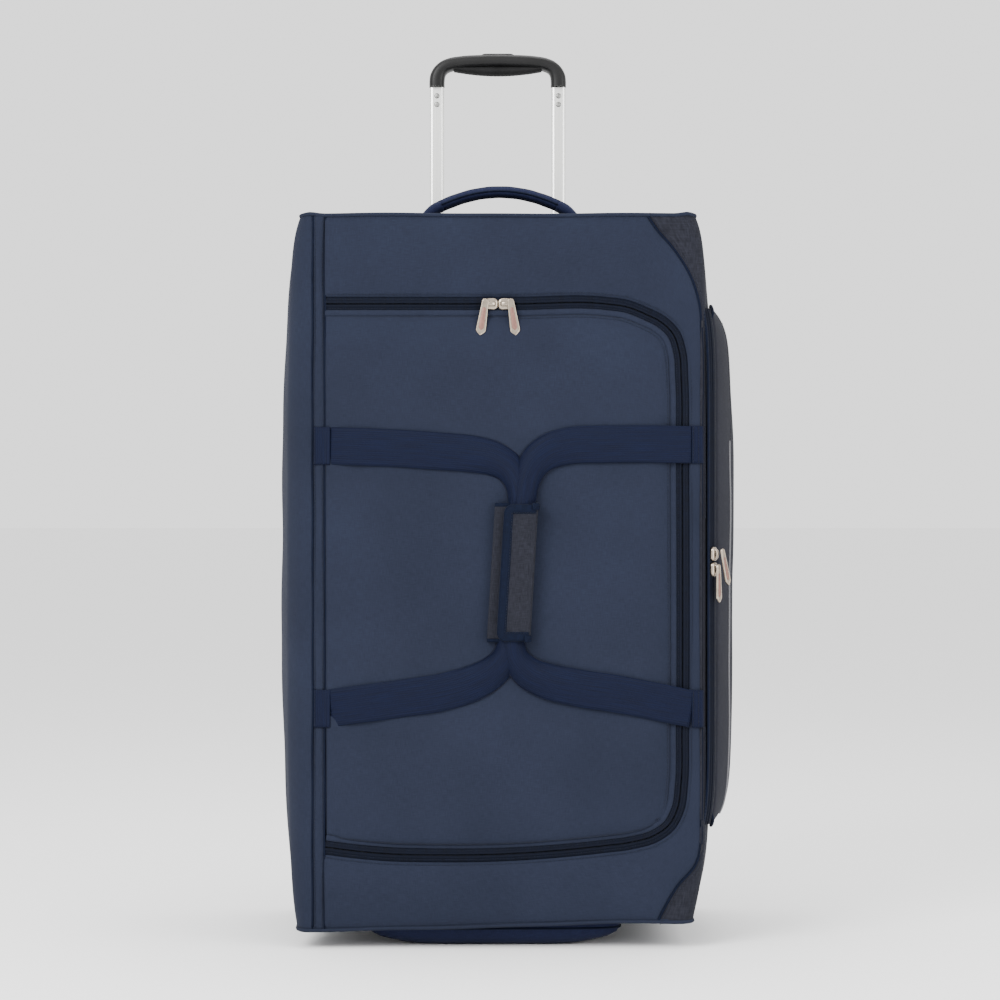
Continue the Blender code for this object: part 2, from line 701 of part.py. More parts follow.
# centre line across the lid as (X, Z, width)
LEFT_STRAP = [
    (LID_HINGE_X + 0.0012, 0.5055, WEBBING), (-0.1200, 0.5015, WEBBING), (-0.0650, 0.4975, WEBBING),
    (-0.0180, 0.4935, WEBBING), (0.0020, 0.4870, 0.0340), (0.0160, 0.4750, 0.0270), (0.0215, 0.4580, FOLDED),
    (0.0200, 0.4400, FOLDED), (0.0160, 0.3800, FOLDED), (0.0120, 0.3200, FOLDED), (0.0090, 0.3000, FOLDED),
    (0.0010, 0.2850, 0.0270), (-0.0150, 0.2720, 0.0340), (-0.0380, 0.2620, WEBBING),
    (-0.1000, 0.2500, WEBBING), (LID_HINGE_X + 0.0012, 0.2400, WEBBING),
]
RIGHT_STRAP = [
    (RIGHT_TAB_X, 0.5040, WEBBING), (0.1300, 0.5050, WEBBING), (0.0900, 0.5050, WEBBING),
    (0.0600, 0.5025, WEBBING), (0.0420, 0.4930, 0.0340), (0.0290, 0.4770, 0.0270), (0.0240, 0.4580, FOLDED),
    (0.0210, 0.4400, FOLDED), (0.0160, 0.3800, FOLDED), (0.0120, 0.3200, FOLDED), (0.0120, 0.3000, FOLDED),
    (0.0190, 0.2830, 0.0270), (0.0350, 0.2710, 0.0340), (0.0600, 0.2650, WEBBING),
    (0.1300, 0.2520, WEBBING), (RIGHT_TAB_X, 0.2390, WEBBING),
]


def strap(name, line, grip_y, pivot, look):
    """Flat webbing sewn down at both ends that lifts off the lid towards the grip."""

    def height(x, z):
        seam = abs(x - line[0][0])
        lift = min(1.0, seam / 0.150)
        lift = lift * lift * (3 - 2 * lift)
        resting = lid_front(x, z) - 0.0008
        return resting * (1 - lift) + grip_y * lift

    def place(u, v):
        at = min(u * (len(line) - 1), len(line) - 1.000001)
        k = int(at)
        share = at - k
        (x0, z0, w0), (x1, z1, w1) = line[k], line[k + 1]
        before, after = line[max(k - 1, 0)], line[min(k + 2, len(line) - 1)]
        start = Vector((x1 - before[0], z1 - before[1])).normalized()
        end = Vector((after[0] - x0, after[1] - z0)).normalized()
        along = start.lerp(end, share).normalized()
        side = Vector((along.y, -along.x)) * (w0 + (w1 - w0) * share) * (v - 0.5)
        x, z = x0 + (x1 - x0) * share, z0 + (z1 - z0) * share
        return x + side.x, height(x, z), z + side.y

    return surface(name, 2 * len(line) - 2, 1, place, WEBBING_THICK, look, pivot)


def sheared(obj, slope):
    """Leans a mesh towards +X as it rises."""
    for vertex in obj.data.vertices:
        vertex.co.x += slope * vertex.co.z
    return obj


def grab_handles():
    web = material("webbing", WEBBING_NAVY, 0.75)
    charcoal = material("charcoal_fabric", CHARCOAL, 0.85)
    middle = (GRIP_LOW + GRIP_HIGH) / 2
    left_axis = pivot_at("left_handle_axis", (LID_HINGE_X, FRONT - 0.0020, middle))
    right_axis = pivot_at("right_handle_axis", (RIGHT_TAB_X, FRONT - 0.0020, middle))
    strap("grab_strap_left", LEFT_STRAP, FRONT - 0.0125, left_axis, web)
    strap("grab_strap_right", RIGHT_STRAP, FRONT - 0.0153, right_axis, web)
    near, far = FRONT - 0.0180, FRONT - 0.0085
    wrap = as_mesh(level_plate(
        "grip_wrap",
        [[
            (0.0350, near), (0.0350, far), (-0.0060, far), (-0.0060, far - 0.0030),
            (0.0315, far - 0.0030), (0.0315, near),
        ][::-1]],
        GRIP_LOW, GRIP_HIGH - GRIP_LOW, charcoal, left_axis,
    ))
    sheared(wrap, GRIP_SLOPE)
    flap_axis = pivot_at("grip_flap_axis", (0.0350, near - GAP, middle))
    lean = GRIP_SLOPE * (GRIP_HIGH - GRIP_LOW) / 2
    left, right = 0.0010, 0.0350
    flap = [
        (left - lean, GRIP_LOW), (right - lean, GRIP_LOW),
        (right + lean, GRIP_HIGH), (left + lean, GRIP_HIGH),
    ]
    upright_plate("grip_flap", [flap], near - GAP - 0.0035, 0.0035, charcoal, flap_axis)


# ---- side pocket -----------------------------------------------------------------------------------
def pocket_rise(u, v):
    """How far the pocket's face stands off the side wall: steep at its edges, flat in its middle."""
    lip = POCKET_LIP if u < 0.999 else 0.0
    return 0.0032 + max(0.0, swell(v, 7)) * (lip + POCKET_BULGE * max(0.0, swell(u, 2.2)))


def side_pocket():
    charcoal = material("charcoal_fabric", CHARCOAL, 0.85)
    metal = material("champagne_metal", CHAMPAGNE, 0.3, 1.0)
    hinge = pivot_at("pocket_axis", (*POCKET_HINGE, (POCKET_LOW + POCKET_HIGH) / 2))

    def place(u, v):
        y = POCKET_FRONT + (POCKET_BACK - POCKET_FRONT) * u
        z = POCKET_LOW + (POCKET_HIGH - POCKET_LOW) * v
        return wall_x(y, z) + pocket_rise(u, v), y, z

    surface("pocket_panel", 12, 14, place, 0.0022, charcoal, hinge)
    x, y = POCKET_ZIP

    def tape(u, v):
        y = FRONT + 0.0020 + 0.0105 * u
        z = POCKET_LOW + 0.010 + (POCKET_HIGH - POCKET_LOW - 0.020) * v
        return wall_x(y, z) + 0.0018, y, z

    surface("pocket_zip_tape", 2, 8, tape, 0.0012, material("zip_navy", WEBBING_NAVY, 0.7))
    for name, z, lift, aside, lean in (
        ("upper", 0.3950, 0.0028, 0.0015, 26), ("lower", 0.3795, 0.0, -0.0015, 2),
    ):
        slide = pivot_at(f"pocket_slider_{name}_axis", (x, y, z))
        slider = add(
            f"pocket_slider_{name}", box_mesh(f"pocket_slider_{name}", (0.0042, 0.0080, 0.0130)), metal,
            (x, y, z), (0, 0, POCKET_ZIP_FACING), slide,
        )
        soften = slider.modifiers.new("edges", "BEVEL")
        soften.width = 0.0010
        facing = Vector((math.cos(POCKET_ZIP_FACING), math.sin(POCKET_ZIP_FACING), 0))
        along = Vector((-facing.y, facing.x, 0))
        eye = Vector((x, y, z + 0.0030)) + facing * (0.0035 + lift) + along * aside
        swing = pivot_at(f"pocket_pull_{name}_axis", eye)
        pull = outline_curve(f"pocket_pull_{name}", [tag_outline(0, 0, 0.0370, 0.0072, lean)], 0.0018)
        turn = Euler((math.radians(90), 0, POCKET_ZIP_FACING + math.radians(90)))
        add(f"pocket_pull_{name}", pull, metal, eye, turn, swing)


clear_scene()
PARTS = make_collection("rolling_duffel_bag")
CUTTERS = make_collection("cutters")
BAG = bpy.data.objects.new("bag_frame", None)
BAG.location = SHIFT
PARTS.objects.link(BAG)
soft_body()
standing_foot()
top_carry_handle()
for corner_side in (-1, 1):
    wheel_corner(corner_side)
rear_guards()
trolley_fixed()
trolley_moving()
release_button()
lid()
main_sliders()
grab_handles()
side_pocket()
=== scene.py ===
"""Dresses the frame of a rolling duffel bag: fabric panels, zips, webbing, padded grips, trolley and wheels,
and a pale studio round it.

Points are worked out in the bag's own measure: x across from midway between the trolley tubes, y back from
the front seam plane, z up from the floor, all in metres. home() carries them to the frame's origin.
"""
import json
import math

import bpy
import mathutils
import numpy as np
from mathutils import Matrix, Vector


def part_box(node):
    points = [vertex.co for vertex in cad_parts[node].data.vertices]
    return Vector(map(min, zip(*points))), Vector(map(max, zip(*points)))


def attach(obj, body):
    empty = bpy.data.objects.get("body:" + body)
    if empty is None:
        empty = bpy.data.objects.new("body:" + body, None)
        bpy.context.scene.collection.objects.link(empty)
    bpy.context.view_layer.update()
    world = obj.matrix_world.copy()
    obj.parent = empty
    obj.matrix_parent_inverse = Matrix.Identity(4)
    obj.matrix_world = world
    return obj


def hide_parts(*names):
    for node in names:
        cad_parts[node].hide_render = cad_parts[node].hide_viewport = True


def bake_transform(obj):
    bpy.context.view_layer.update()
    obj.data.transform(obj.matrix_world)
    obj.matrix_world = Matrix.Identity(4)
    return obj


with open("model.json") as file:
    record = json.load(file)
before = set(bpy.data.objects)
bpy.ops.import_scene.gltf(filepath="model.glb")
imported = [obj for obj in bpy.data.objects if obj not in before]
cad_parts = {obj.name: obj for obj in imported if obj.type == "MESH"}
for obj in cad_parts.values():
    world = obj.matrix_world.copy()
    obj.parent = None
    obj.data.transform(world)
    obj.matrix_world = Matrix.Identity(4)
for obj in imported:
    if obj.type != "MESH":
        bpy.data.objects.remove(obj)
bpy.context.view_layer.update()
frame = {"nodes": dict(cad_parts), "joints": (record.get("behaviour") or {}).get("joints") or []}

bl_info = {
    "name": "Rolling Duffel Bag",
    "version": (1, 0, 0),
    "blender": (4, 5, 0),
    "location": "View3D > Sidebar > Duffel",
    "description": "Dresses the frame of a rolling duffel bag and sets a pale studio round it",
    "category": "Add Mesh",
}

BODY = "bag_body"
ACROSS, AHEAD, BACK, UP = (1, 0, 0), (0, -1, 0), (0, 1, 0), (0, 0, 1)


# ---- places read from the frame ----------------------------------------------------------------------
def low(node):
    """A node's lowest corner, in the frame's measure."""
    return np.array(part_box(node)[0])


def high(node):
    """A node's highest corner, in the frame's measure."""
    return np.array(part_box(node)[1])


JOINTS = {joint["name"]: joint for joint in frame["joints"]}
MIDDLE = (low("trolley_inner_tube_left")[0] + high("trolley_inner_tube_right")[0]) / 2
FRONT = low("front_panel")[1]
ORIGIN = np.array((MIDDLE, FRONT, 0.0))
DEPTH = high("back_panel")[1] - FRONT
BOTTOM, TOP = low("end_panel_bottom")[2], high("end_panel_top")[2]
HINGE = JOINTS["lid_open"]["pos_m"][0] - MIDDLE
ZIP_TOP = (low("main_slider_left") + high("main_slider_left"))[2] / 2
LEFT_SEAM = HINGE - 0.0125
TUBE_X = (low("trolley_inner_tube_right") + high("trolley_inner_tube_right"))[0] / 2 - MIDDLE
TUBE_Y = (low("trolley_inner_tube_right") + high("trolley_inner_tube_right"))[1] / 2 - FRONT
PIPING = (0.0019, 0.0019, 12)     # half width, half depth and sides of the round piping


def home(points):
    """Bag measure to the frame's."""
    return np.asarray(points, float) + ORIGIN


def bag(point):
    """The frame's measure to the bag's."""
    return np.asarray(point, float) - ORIGIN


def size(name):
    """A measure from the sidebar, to the nearest micrometre."""
    return round(getattr(bpy.context.scene.duffel_sizes, name), 6)


# ---- shape helpers -----------------------------------------------------------------------------------
def ease(t):
    """0 below 0, 1 above 1, and 3t^2 - 2t^3 between."""
    t = np.clip(t, 0.0, 1.0)
    return t * t * (3 - 2 * t)


def swell(t, power=2.5):
    """0 at both ends of 0..1 and 1 halfway: 1 - |2t - 1|^power."""
    return np.clip(1 - np.abs(2 * np.asarray(t) - 1) ** power, 0.0, 1.0)


def creases(a, b, lengths, seed):
    """Soft unevenness of cloth: the mean of sine waves of these lengths, each at its own angle and phase."""
    random = np.random.default_rng(seed)
    total = np.zeros(np.broadcast(a, b).shape)
    for length in lengths:
        angle, phase = random.uniform(0, math.pi), random.uniform(0, 2 * math.pi)
        total += np.sin(2 * math.pi * (a * math.cos(angle) + b * math.sin(angle)) / length + phase)
    return total / len(lengths)


def unit(vectors):
    """Vectors at length 1: v / |v|."""
    return vectors / np.maximum(np.linalg.norm(vectors, axis=-1, keepdims=True), 1e-12)


def flowing(points, count):
    """A smooth line through a few points: cubic Hermite spans by distance, each slope from its neighbours."""
    points = np.asarray(points, float)
    chord = np.r_[0, np.cumsum(np.linalg.norm(np.diff(points[:, :3], axis=0), axis=1))]
    slope = np.gradient(points, chord, axis=0)
    at = np.linspace(0, chord[-1], count)
    k = np.clip(np.searchsorted(chord, at, "right") - 1, 0, len(chord) - 2)
    span = (chord[k + 1] - chord[k])[:, None]
    t = (at - chord[k])[:, None] / span
    return (
        (2 * t**3 - 3 * t**2 + 1) * points[k] + (t**3 - 2 * t**2 + t) * span * slope[k]
        + (3 * t**2 - 2 * t**3) * points[k + 1] + (t**3 - t**2) * span * slope[k + 1]
    )


def evenly(path, spacing):
    """Points at equal distances along a dense line."""
    far = np.r_[0, np.cumsum(np.linalg.norm(np.diff(path, axis=0), axis=1))]
    at = np.linspace(0, far[-1], max(2, int(round(far[-1] / spacing)) + 1))
    return np.stack([np.interp(at, far, path[:, k]) for k in range(path.shape[1])], -1)


def bend(centre, radius, start, end, steps):
    """Points of an arc in a plane, angles in degrees."""
    angle = np.radians(np.linspace(start, end, steps + 1))
    return np.stack((centre[0] + radius * np.cos(angle), centre[1] + radius * np.sin(angle)), -1)


def rounded(wide, tall, radius, steps=6, centre=(0.0, 0.0)):
    """A rectangle's outline with round corners, anticlockwise."""
    arcs = []
    for quarter, (sx, sy) in enumerate(((1, 1), (-1, 1), (-1, -1), (1, -1))):
        corner = (centre[0] + sx * (wide / 2 - radius), centre[1] + sy * (tall / 2 - radius))
        arcs.append(bend(corner, radius, 90 * quarter, 90 * quarter + 90, steps))
    return np.concatenate(arcs)


def oval(across, deep, sides=16, power=2.0):
    """A cross-section: a superellipse |x/across|^power + |y/deep|^power = 1."""
    angle = np.linspace(0, 2 * math.pi, sides, endpoint=False)
    c, s = np.cos(angle), np.sin(angle)
    return np.stack((
        np.asarray(across)[..., None] * np.sign(c) * np.abs(c) ** (2 / power),
        np.asarray(deep)[..., None] * np.sign(s) * np.abs(s) ** (2 / power),
    ), -1)


def swept(path, section, up, closed=False):
    """A section carried along a path: sideways is the tangent crossed with up, and out is square to both."""
    if closed:
        tangent = unit(np.roll(path, -1, axis=0) - np.roll(path, 1, axis=0))
    else:
        tangent = unit(np.gradient(path, axis=0))
    side = unit(np.cross(tangent, np.broadcast_to(up, path.shape)))
    out = np.cross(side, tangent)
    return path[:, None, :] + section[..., 0:1] * side[:, None, :] + section[..., 1:2] * out[:, None, :]


def stacked(outline, profile, origin, right, up, out):
    """Rings of a moulded plate: an outline drawn in by each inset of a profile and lifted by its height."""
    tangent = unit(np.roll(outline, -1, axis=0) - np.roll(outline, 1, axis=0))
    inward = np.stack((-tangent[:, 1], tangent[:, 0]), -1)
    right, up, out = (np.asarray(axis, float) for axis in (right, up, out))
    rings = []
    for inset, height in profile:
        flat = outline + inset * inward
        rings.append(np.asarray(origin) + flat[:, :1] * right + flat[:, 1:] * up + height * out)
    return np.stack(rings)


# ---- mesh helpers ------------------------------------------------------------------------------------
def collection():
    """The collection that every new object goes into."""
    found = bpy.data.collections.get("duffel_bag")
    if found is None:
        found = bpy.data.collections.new("duffel_bag")
        bpy.context.scene.collection.children.link(found)
    return found


def new_mesh(name, points, corners, sizes, uvs, crisp):
    """Fills a mesh from whole arrays: points, the corner list of every face, and each face's corner count."""
    mesh = bpy.data.meshes.new(name)
    mesh.vertices.add(len(points))
    mesh.vertices.foreach_set("co", points.astype(np.float32).ravel())
    mesh.loops.add(len(corners))
    mesh.loops.foreach_set("vertex_index", corners.astype(np.int32))
    mesh.polygons.add(len(sizes))
    mesh.polygons.foreach_set("loop_start", np.r_[0, np.cumsum(sizes)[:-1]].astype(np.int32))
    mesh.polygons.foreach_set("use_smooth", np.ones(len(sizes), bool))
    if uvs is not None:
        mesh.uv_layers.new(name="cut").uv.foreach_set("vector", uvs.astype(np.float32).ravel())
    mesh.update(calc_edges=True)
    mesh.validate()
    if crisp:
        mesh.set_sharp_from_angle(angle=math.radians(crisp))
    piece = bpy.data.objects.new(name, mesh)
    collection().objects.link(piece)
    return piece


def lay_out(points, ring, around):
    """Each grid point's place on the flat cloth: distance along the rows, and distance across them."""
    wrapped = np.concatenate((points, points[:, :1]), 1) if around else points
    wrapped = np.concatenate((wrapped, wrapped[:1]), 0) if ring else wrapped
    down = np.linalg.norm(np.diff(wrapped, axis=0), axis=-1).mean(axis=1)
    over = np.linalg.norm(np.diff(wrapped, axis=1), axis=-1).mean(axis=0)
    v, u = np.r_[0, np.cumsum(down)], np.r_[0, np.cumsum(over)]
    return np.stack(np.meshgrid(u, v), -1)


def grid(name, points, around=False, ring=False, facing=None, thick=0.0, crisp=0.0, open_ends=(False, False),
         inside=False):
    """A surface through a grid of points, rows by columns. around joins each row's ends, ring joins the
    first and last rows, and otherwise an around surface is capped. facing is the way an open sheet looks."""
    rows, columns = points.shape[:2]
    i = np.arange(rows if ring else rows - 1)[:, None]
    j = np.arange(columns if around else columns - 1)[None, :]
    i2, j2 = (i + 1) % rows, (j + 1) % columns
    quads = np.stack(np.broadcast_arrays(
        i * columns + j, i * columns + j2, i2 * columns + j2, i2 * columns + j), -1).reshape(-1, 4)
    flat = lay_out(points, ring, around)
    row, column = np.broadcast_arrays(i, j)
    corner_steps = ((0, 0), (0, 1), (1, 1), (1, 0))
    uvs = np.stack([flat[row + down, column + over] for down, over in corner_steps], -2).reshape(-1, 4, 2)
    flat_points = points.reshape(-1, 3)
    a, b, c, d = (flat_points[quads[:, k]] for k in range(4))
    normal = np.cross(c - a, d - b)
    if facing is not None:
        turned = (normal @ np.asarray(facing, float)).sum() < 0
    else:
        turned = (((a + c) * normal).sum() < 0) != inside
    if turned:
        quads, uvs = quads[:, ::-1], uvs[:, ::-1]
    corners, sizes = [quads.ravel()], [np.full(len(quads), 4)]
    uv_rows = [uvs.reshape(-1, 2)]
    if around and not ring:
        for end, first, backwards in ((0, 0, turned), (1, (rows - 1) * columns, not turned)):
            if open_ends[end]:
                continue
            cap = first + np.arange(columns)
            corners.append(cap if backwards else cap[::-1])
            sizes.append(np.array([columns]))
            uv_rows.append(np.zeros((columns, 2)))
    corners, sizes, uv_rows = (np.concatenate(parts) for parts in (corners, sizes, uv_rows))
    piece = new_mesh(name, home(flat_points), corners, sizes, uv_rows, crisp)
    if thick:
        wall = piece.modifiers.new("thickness", "SOLIDIFY")
        wall.thickness = thick
        wall.offset = -1.0
    return piece


def many(name, seed_points, seed_faces, centres, along, across):
    """Copies of one small closed form: each turned so that its x lies along, its y across, and its z out."""
    along, across = unit(along), np.asarray(across, float)
    out = unit(np.cross(along, across))
    across = np.cross(out, along)
    points = (
        centres[:, None, :] + seed_points[None, :, 0:1] * along[:, None, :]
        + seed_points[None, :, 1:2] * across[:, None, :] + seed_points[None, :, 2:3] * out[:, None, :]
    )
    step = np.arange(len(centres))[:, None, None] * len(seed_points)
    faces = (seed_faces[None] + step).reshape(-1, 4)
    return new_mesh(name, home(points.reshape(-1, 3)), faces.ravel(), np.full(len(faces), 4), None, 0)


def grain(long, wide, tall, sides=6):
    """A small closed bead, long along x: rings whose radius follows a half circle, almost to a point."""
    share = np.array((-1.0, -0.8, 0.0, 0.8, 1.0))
    radius = np.sqrt(1 - share**2 * 0.985)
    angle = np.linspace(0, 2 * math.pi, sides, endpoint=False)
    x = np.repeat(share * long / 2, sides)
    y = (radius[:, None] * np.cos(angle) * wide / 2).ravel()
    z = (radius[:, None] * np.sin(angle) * tall / 2).ravel()
    i, j = np.arange(len(share) - 1)[:, None], np.arange(sides)[None, :]
    k = (j + 1) % sides
    faces = np.stack(np.broadcast_arrays(
        i * sides + j, i * sides + k, (i + 1) * sides + k, (i + 1) * sides + j), -1)
    last = (len(share) - 1) * sides
    caps = []
    for base, way in ((0, -1), (last, 1)):
        loop = np.arange(sides)[::way] + base
        caps += [loop[[0, 1, 2, 3]], loop[[0, 3, 4, 5]]]
    return np.stack((x, y, z), -1), np.concatenate((faces.reshape(-1, 4), np.array(caps)))


def stitches(name, path, across, pitch=0.0034, long=None, wide=0.0007):
    """A row of thread stitches along a line. across is the way over the cloth, square to the row."""
    long = long or size("stitch")
    path = evenly(np.asarray(path, float), pitch)
    tangent = unit(np.gradient(path, axis=0))
    across = np.broadcast_to(np.asarray(across, float), path.shape)
    points, faces = grain(long, wide, wide * 0.8)
    return many(name, points, faces, path, tangent, across)


def clothe(piece, kind):
    """Gives a piece its material."""
    piece.data.materials.append(look(kind))


def finish(piece, kind, body, slot, *replaced):
    """Gives a piece its material and body, and names the CAD nodes that it stands for. slot is not used."""
    clothe(piece, kind)
    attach(piece, body)
    if replaced:
        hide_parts(*replaced)


def sew(body, slot, name, row, across, *measures):
    """A row of stitches, finished: its pitch, length and width may follow."""
    finish(stitches(name, row, across, *measures), "thread", body, slot)


def cord(name, path, section, up, kind, body, slot, closed=False):
    """A finished cord: an oval cross-section swept along a path."""
    finish(grid(name, swept(path, oval(*section), up, closed), around=True, ring=closed), kind, body, slot)


def moulding(name, outline, shape, origin, axes=(ACROSS, BACK, UP), crisp=60):
    """A moulded plate: stacked rings of an outline, capped at both ends."""
    return grid(name, stacked(outline, shape, origin, *axes), around=True, crisp=crisp)


# ---- materials ---------------------------------------------------------------------------------------
class Finish:
    """A material under construction: its nodes, and short ways to add and join them."""

    def __init__(self, name, colour, roughness, metallic=0.0, **sockets):
        """Starts from the plain shader, with any of its other inputs set by name."""
        self.material = bpy.data.materials.new(name)
        self.material.use_nodes = True
        self.tree = self.material.node_tree
        self.shader = self.tree.nodes["Principled BSDF"]
        self.shader.inputs["Base Color"].default_value = (*colour, 1.0)
        self.shader.inputs["Roughness"].default_value = roughness
        self.shader.inputs["Metallic"].default_value = metallic
        for socket, value in sockets.items():
            self.shader.inputs[socket.replace("_", " ")].default_value = value

    def node(self, kind, joins=(), **values):
        """A shader node, with its inputs joined or set and its own values."""
        made = self.tree.nodes.new("ShaderNode" + kind)
        for key, value in values.items():
            setattr(made, key, value)
        for socket, source in joins:
            if isinstance(source, bpy.types.NodeSocket):
                self.tree.links.new(source, made.inputs[socket])
            else:
                made.inputs[socket].default_value = source
        return made

    def coords(self, flat, scale):
        """Coordinates from the piece's cut pattern, or from its place in the bag, stretched by scale."""
        if flat:
            source = self.node("UVMap", uv_map="cut").outputs["UV"]
        else:
            source = self.node("TexCoord").outputs["Object"]
        return self.node("Mapping", (("Vector", source), ("Scale", scale))).outputs["Vector"]

    def noise(self, vector, scale, detail=3.0, rough=0.5):
        """Fractal noise, from 0 to 1."""
        return self.node("TexNoise", (
            ("Vector", vector), ("Scale", scale), ("Detail", detail), ("Roughness", rough),
        )).outputs["Fac"]

    def bands(self, vector, period, way="X"):
        """Even ridges, one in each period: a band wave of 20 radians in a unit."""
        return self.node(
            "TexWave", (("Vector", vector), ("Scale", 2 * math.pi / 20 / period)), bands_direction=way,
        ).outputs["Fac"]

    def ramp(self, value, stops):
        """Grey levels or colours at places from 0 to 1."""
        made = self.node("ValToRGB", (("Fac", value),))
        made.color_ramp.elements[0].position = stops[0][0]
        made.color_ramp.elements[1].position = stops[-1][0]
        for place, _ in stops[1:-1]:
            made.color_ramp.elements.new(place)
        for element, (_, colour) in zip(made.color_ramp.elements, stops):
            element.color = (*colour, 1.0) if np.ndim(colour) else (colour, colour, colour, 1.0)
        return made.outputs["Color"]

    def mix(self, share, first, second, how="MIX"):
        """Two colours blended by a share, in the way that how names."""
        made = self.node("Mix", data_type="RGBA", blend_type=how)
        for socket, value in (("Factor", share), ("A", first), ("B", second)):
            slots = [s for s in made.inputs if s.name == socket and s.enabled]
            if isinstance(value, bpy.types.NodeSocket):
                self.tree.links.new(value, slots[0])
            elif np.ndim(value):
                slots[0].default_value = (*value, 1.0)
            else:
                slots[0].default_value = value
        return [s for s in made.outputs if s.name == "Result" and s.enabled][0]

    def maths(self, how, first, second):
        """Two numbers joined by a named operation."""
        return self.node("Math", ((0, first), (1, second)), operation=how).outputs[0]

    def colour(self, source):
        """Sets the base colour."""
        self.tree.links.new(source, self.shader.inputs["Base Color"])

    def roughness(self, source, least, most):
        """Spreads a value from 0 to 1 between two roughnesses."""
        made = self.node("MapRange", (("Value", source), ("To Min", least), ("To Max", most)))
        self.tree.links.new(made.outputs["Result"], self.shader.inputs["Roughness"])

    def bump(self, *layers):
        """Heights over one another, each a (source, distance, strength)."""
        normal = None
        for source, distance, strength in layers:
            joins = [("Height", source), ("Distance", distance), ("Strength", strength)]
            if normal is not None:
                joins.append(("Normal", normal))
            normal = self.node("Bump", joins).outputs["Normal"]
        self.tree.links.new(normal, self.shader.inputs["Normal"])


LOOKS = {}


def look(name):
    """A finish by name, made once from the colours in the sidebar."""
    if name not in LOOKS:
        LOOKS[name] = FINISHES[name](name, bpy.context.scene.duffel_colours)
    return LOOKS[name]


def shaded(colour, factor):
    """A colour times a factor, at most 1."""
    return tuple(min(1.0, channel * factor) for channel in colour)


def woven(name, base, fleck, thread=0.00062, contrast=0.14, sheen=0.02, rough=0.82, depth=0.00012):
    """Plain-woven cloth: warp and weft ridges, threads of slightly differing shade, and slow fading."""
    made = Finish(name, base, rough, Sheen_Weight=sheen, Sheen_Roughness=0.45, Specular_IOR_Level=0.06)
    flat = made.coords(True, (1.0, 1.0, 1.0))
    warp = made.noise(made.coords(True, (1500.0, 130.0, 1.0)), 1.0, 2.0)
    weft = made.noise(made.coords(True, (130.0, 1500.0, 1.0)), 1.0, 2.0)
    threads = made.mix(0.5, warp, weft)
    heather = made.ramp(threads, ((0.36, shaded(base, 1 - contrast)), (0.5, base), (0.66, fleck)))
    slow = made.ramp(made.noise(made.coords(False, (1.0, 1.0, 1.0)), 9.0, 4.0), ((0.3, 0.90), (0.7, 1.10)))
    made.colour(made.mix(1.0, heather, slow, "MULTIPLY"))
    weave = made.maths("MULTIPLY", made.bands(flat, thread, "X"), made.bands(flat, thread, "Y"))
    slack = made.noise(made.coords(False, (1.0, 1.0, 1.0)), 55.0, 3.0, 0.55)
    made.roughness(threads, rough - 0.08, rough + 0.10)
    made.bump((slack, 0.0011, 0.35), (weave, depth, 0.6))
    return made.material


def navy_cloth(name, colours):
    """The main cloth, with a slightly paler fleck."""
    return woven(name, colours.navy, shaded(colours.navy, 1.18))


def band_cloth(name, colours):
    """The main weave a shade darker, for the band and the piping."""
    return woven(name, shaded(colours.navy, 0.95), shaded(colours.navy, 1.15), sheen=0.015)


def charcoal_cloth(name, colours):
    """A coarser, flecked weave for the right wall, the pocket and the grip."""
    return woven(name, colours.charcoal, shaded(colours.charcoal, 1.5), 0.0011, 0.32, 0.02, 0.88, 0.0002)


def binding_cloth(name, colours):
    """Seam tape: a fine, dark weave."""
    return woven(name, colours.binding, shaded(colours.binding, 1.5), 0.0008, 0.25, 0.02, 0.70)


def handle_cloth(name, colours):
    """The carry handle's cloth."""
    return woven(name, colours.handle, shaded(colours.handle, 1.4), 0.0007, 0.25, 0.02, 0.70)


def foot_cloth(name, colours):
    """The standing foot's cloth: the handle's, with a quieter fleck."""
    return woven(name, colours.handle, shaded(colours.handle, 1.3), 0.0007, 0.25, 0.02, 0.70)


def lining_cloth(name, colours):
    """Thin, smooth lining."""
    return woven(name, colours.lining, shaded(colours.lining, 1.15), 0.0004, 0.10, 0.05, 0.55, 0.00005)


def webbing_cloth(name, colours):
    """Webbing: a chevron of slanting ribs along its length, with a plain edge."""
    base = colours.webbing
    made = Finish(name, base, 0.6, Sheen_Weight=0.02, Sheen_Roughness=0.4, Specular_IOR_Level=0.08)
    flat = made.coords(True, (1.0, 1.0, 1.0))
    ribs = made.bands(flat, 0.0021, "X")
    picks = made.bands(flat, 0.0013, "Y")
    streak = made.noise(made.coords(True, (700.0, 30.0, 1.0)), 1.0, 2.0)
    tone = made.ramp(streak, ((0.32, shaded(base, 0.78)), (0.5, base), (0.7, shaded(base, 1.35))))
    made.colour(made.mix(0.30, tone, made.ramp(ribs, ((0.0, shaded(base, 0.6)), (1.0, shaded(base, 1.25))))))
    made.roughness(streak, 0.50, 0.70)
    made.bump((made.maths("ADD", ribs, picks), 0.00028, 0.55))
    return made.material


def zip_cloth(name, colours):
    """Zip tape: fine ribs across the coil's back and a tight herringbone beside it."""
    base = shaded(colours.binding, 0.55)
    made = Finish(name, base, 0.62, Sheen_Weight=0.02, Specular_IOR_Level=0.08)
    flat = made.coords(True, (1.0, 1.0, 1.0))
    ribs = made.bands(flat, 0.0013, "Y")
    tone = made.noise(made.coords(True, (900.0, 60.0, 1.0)), 1.0, 2.0)
    made.colour(made.ramp(tone, ((0.3, shaded(base, 0.75)), (0.7, shaded(base, 1.6)))))
    made.roughness(tone, 0.5, 0.75)
    made.bump((ribs, 0.00018, 0.6))
    return made.material


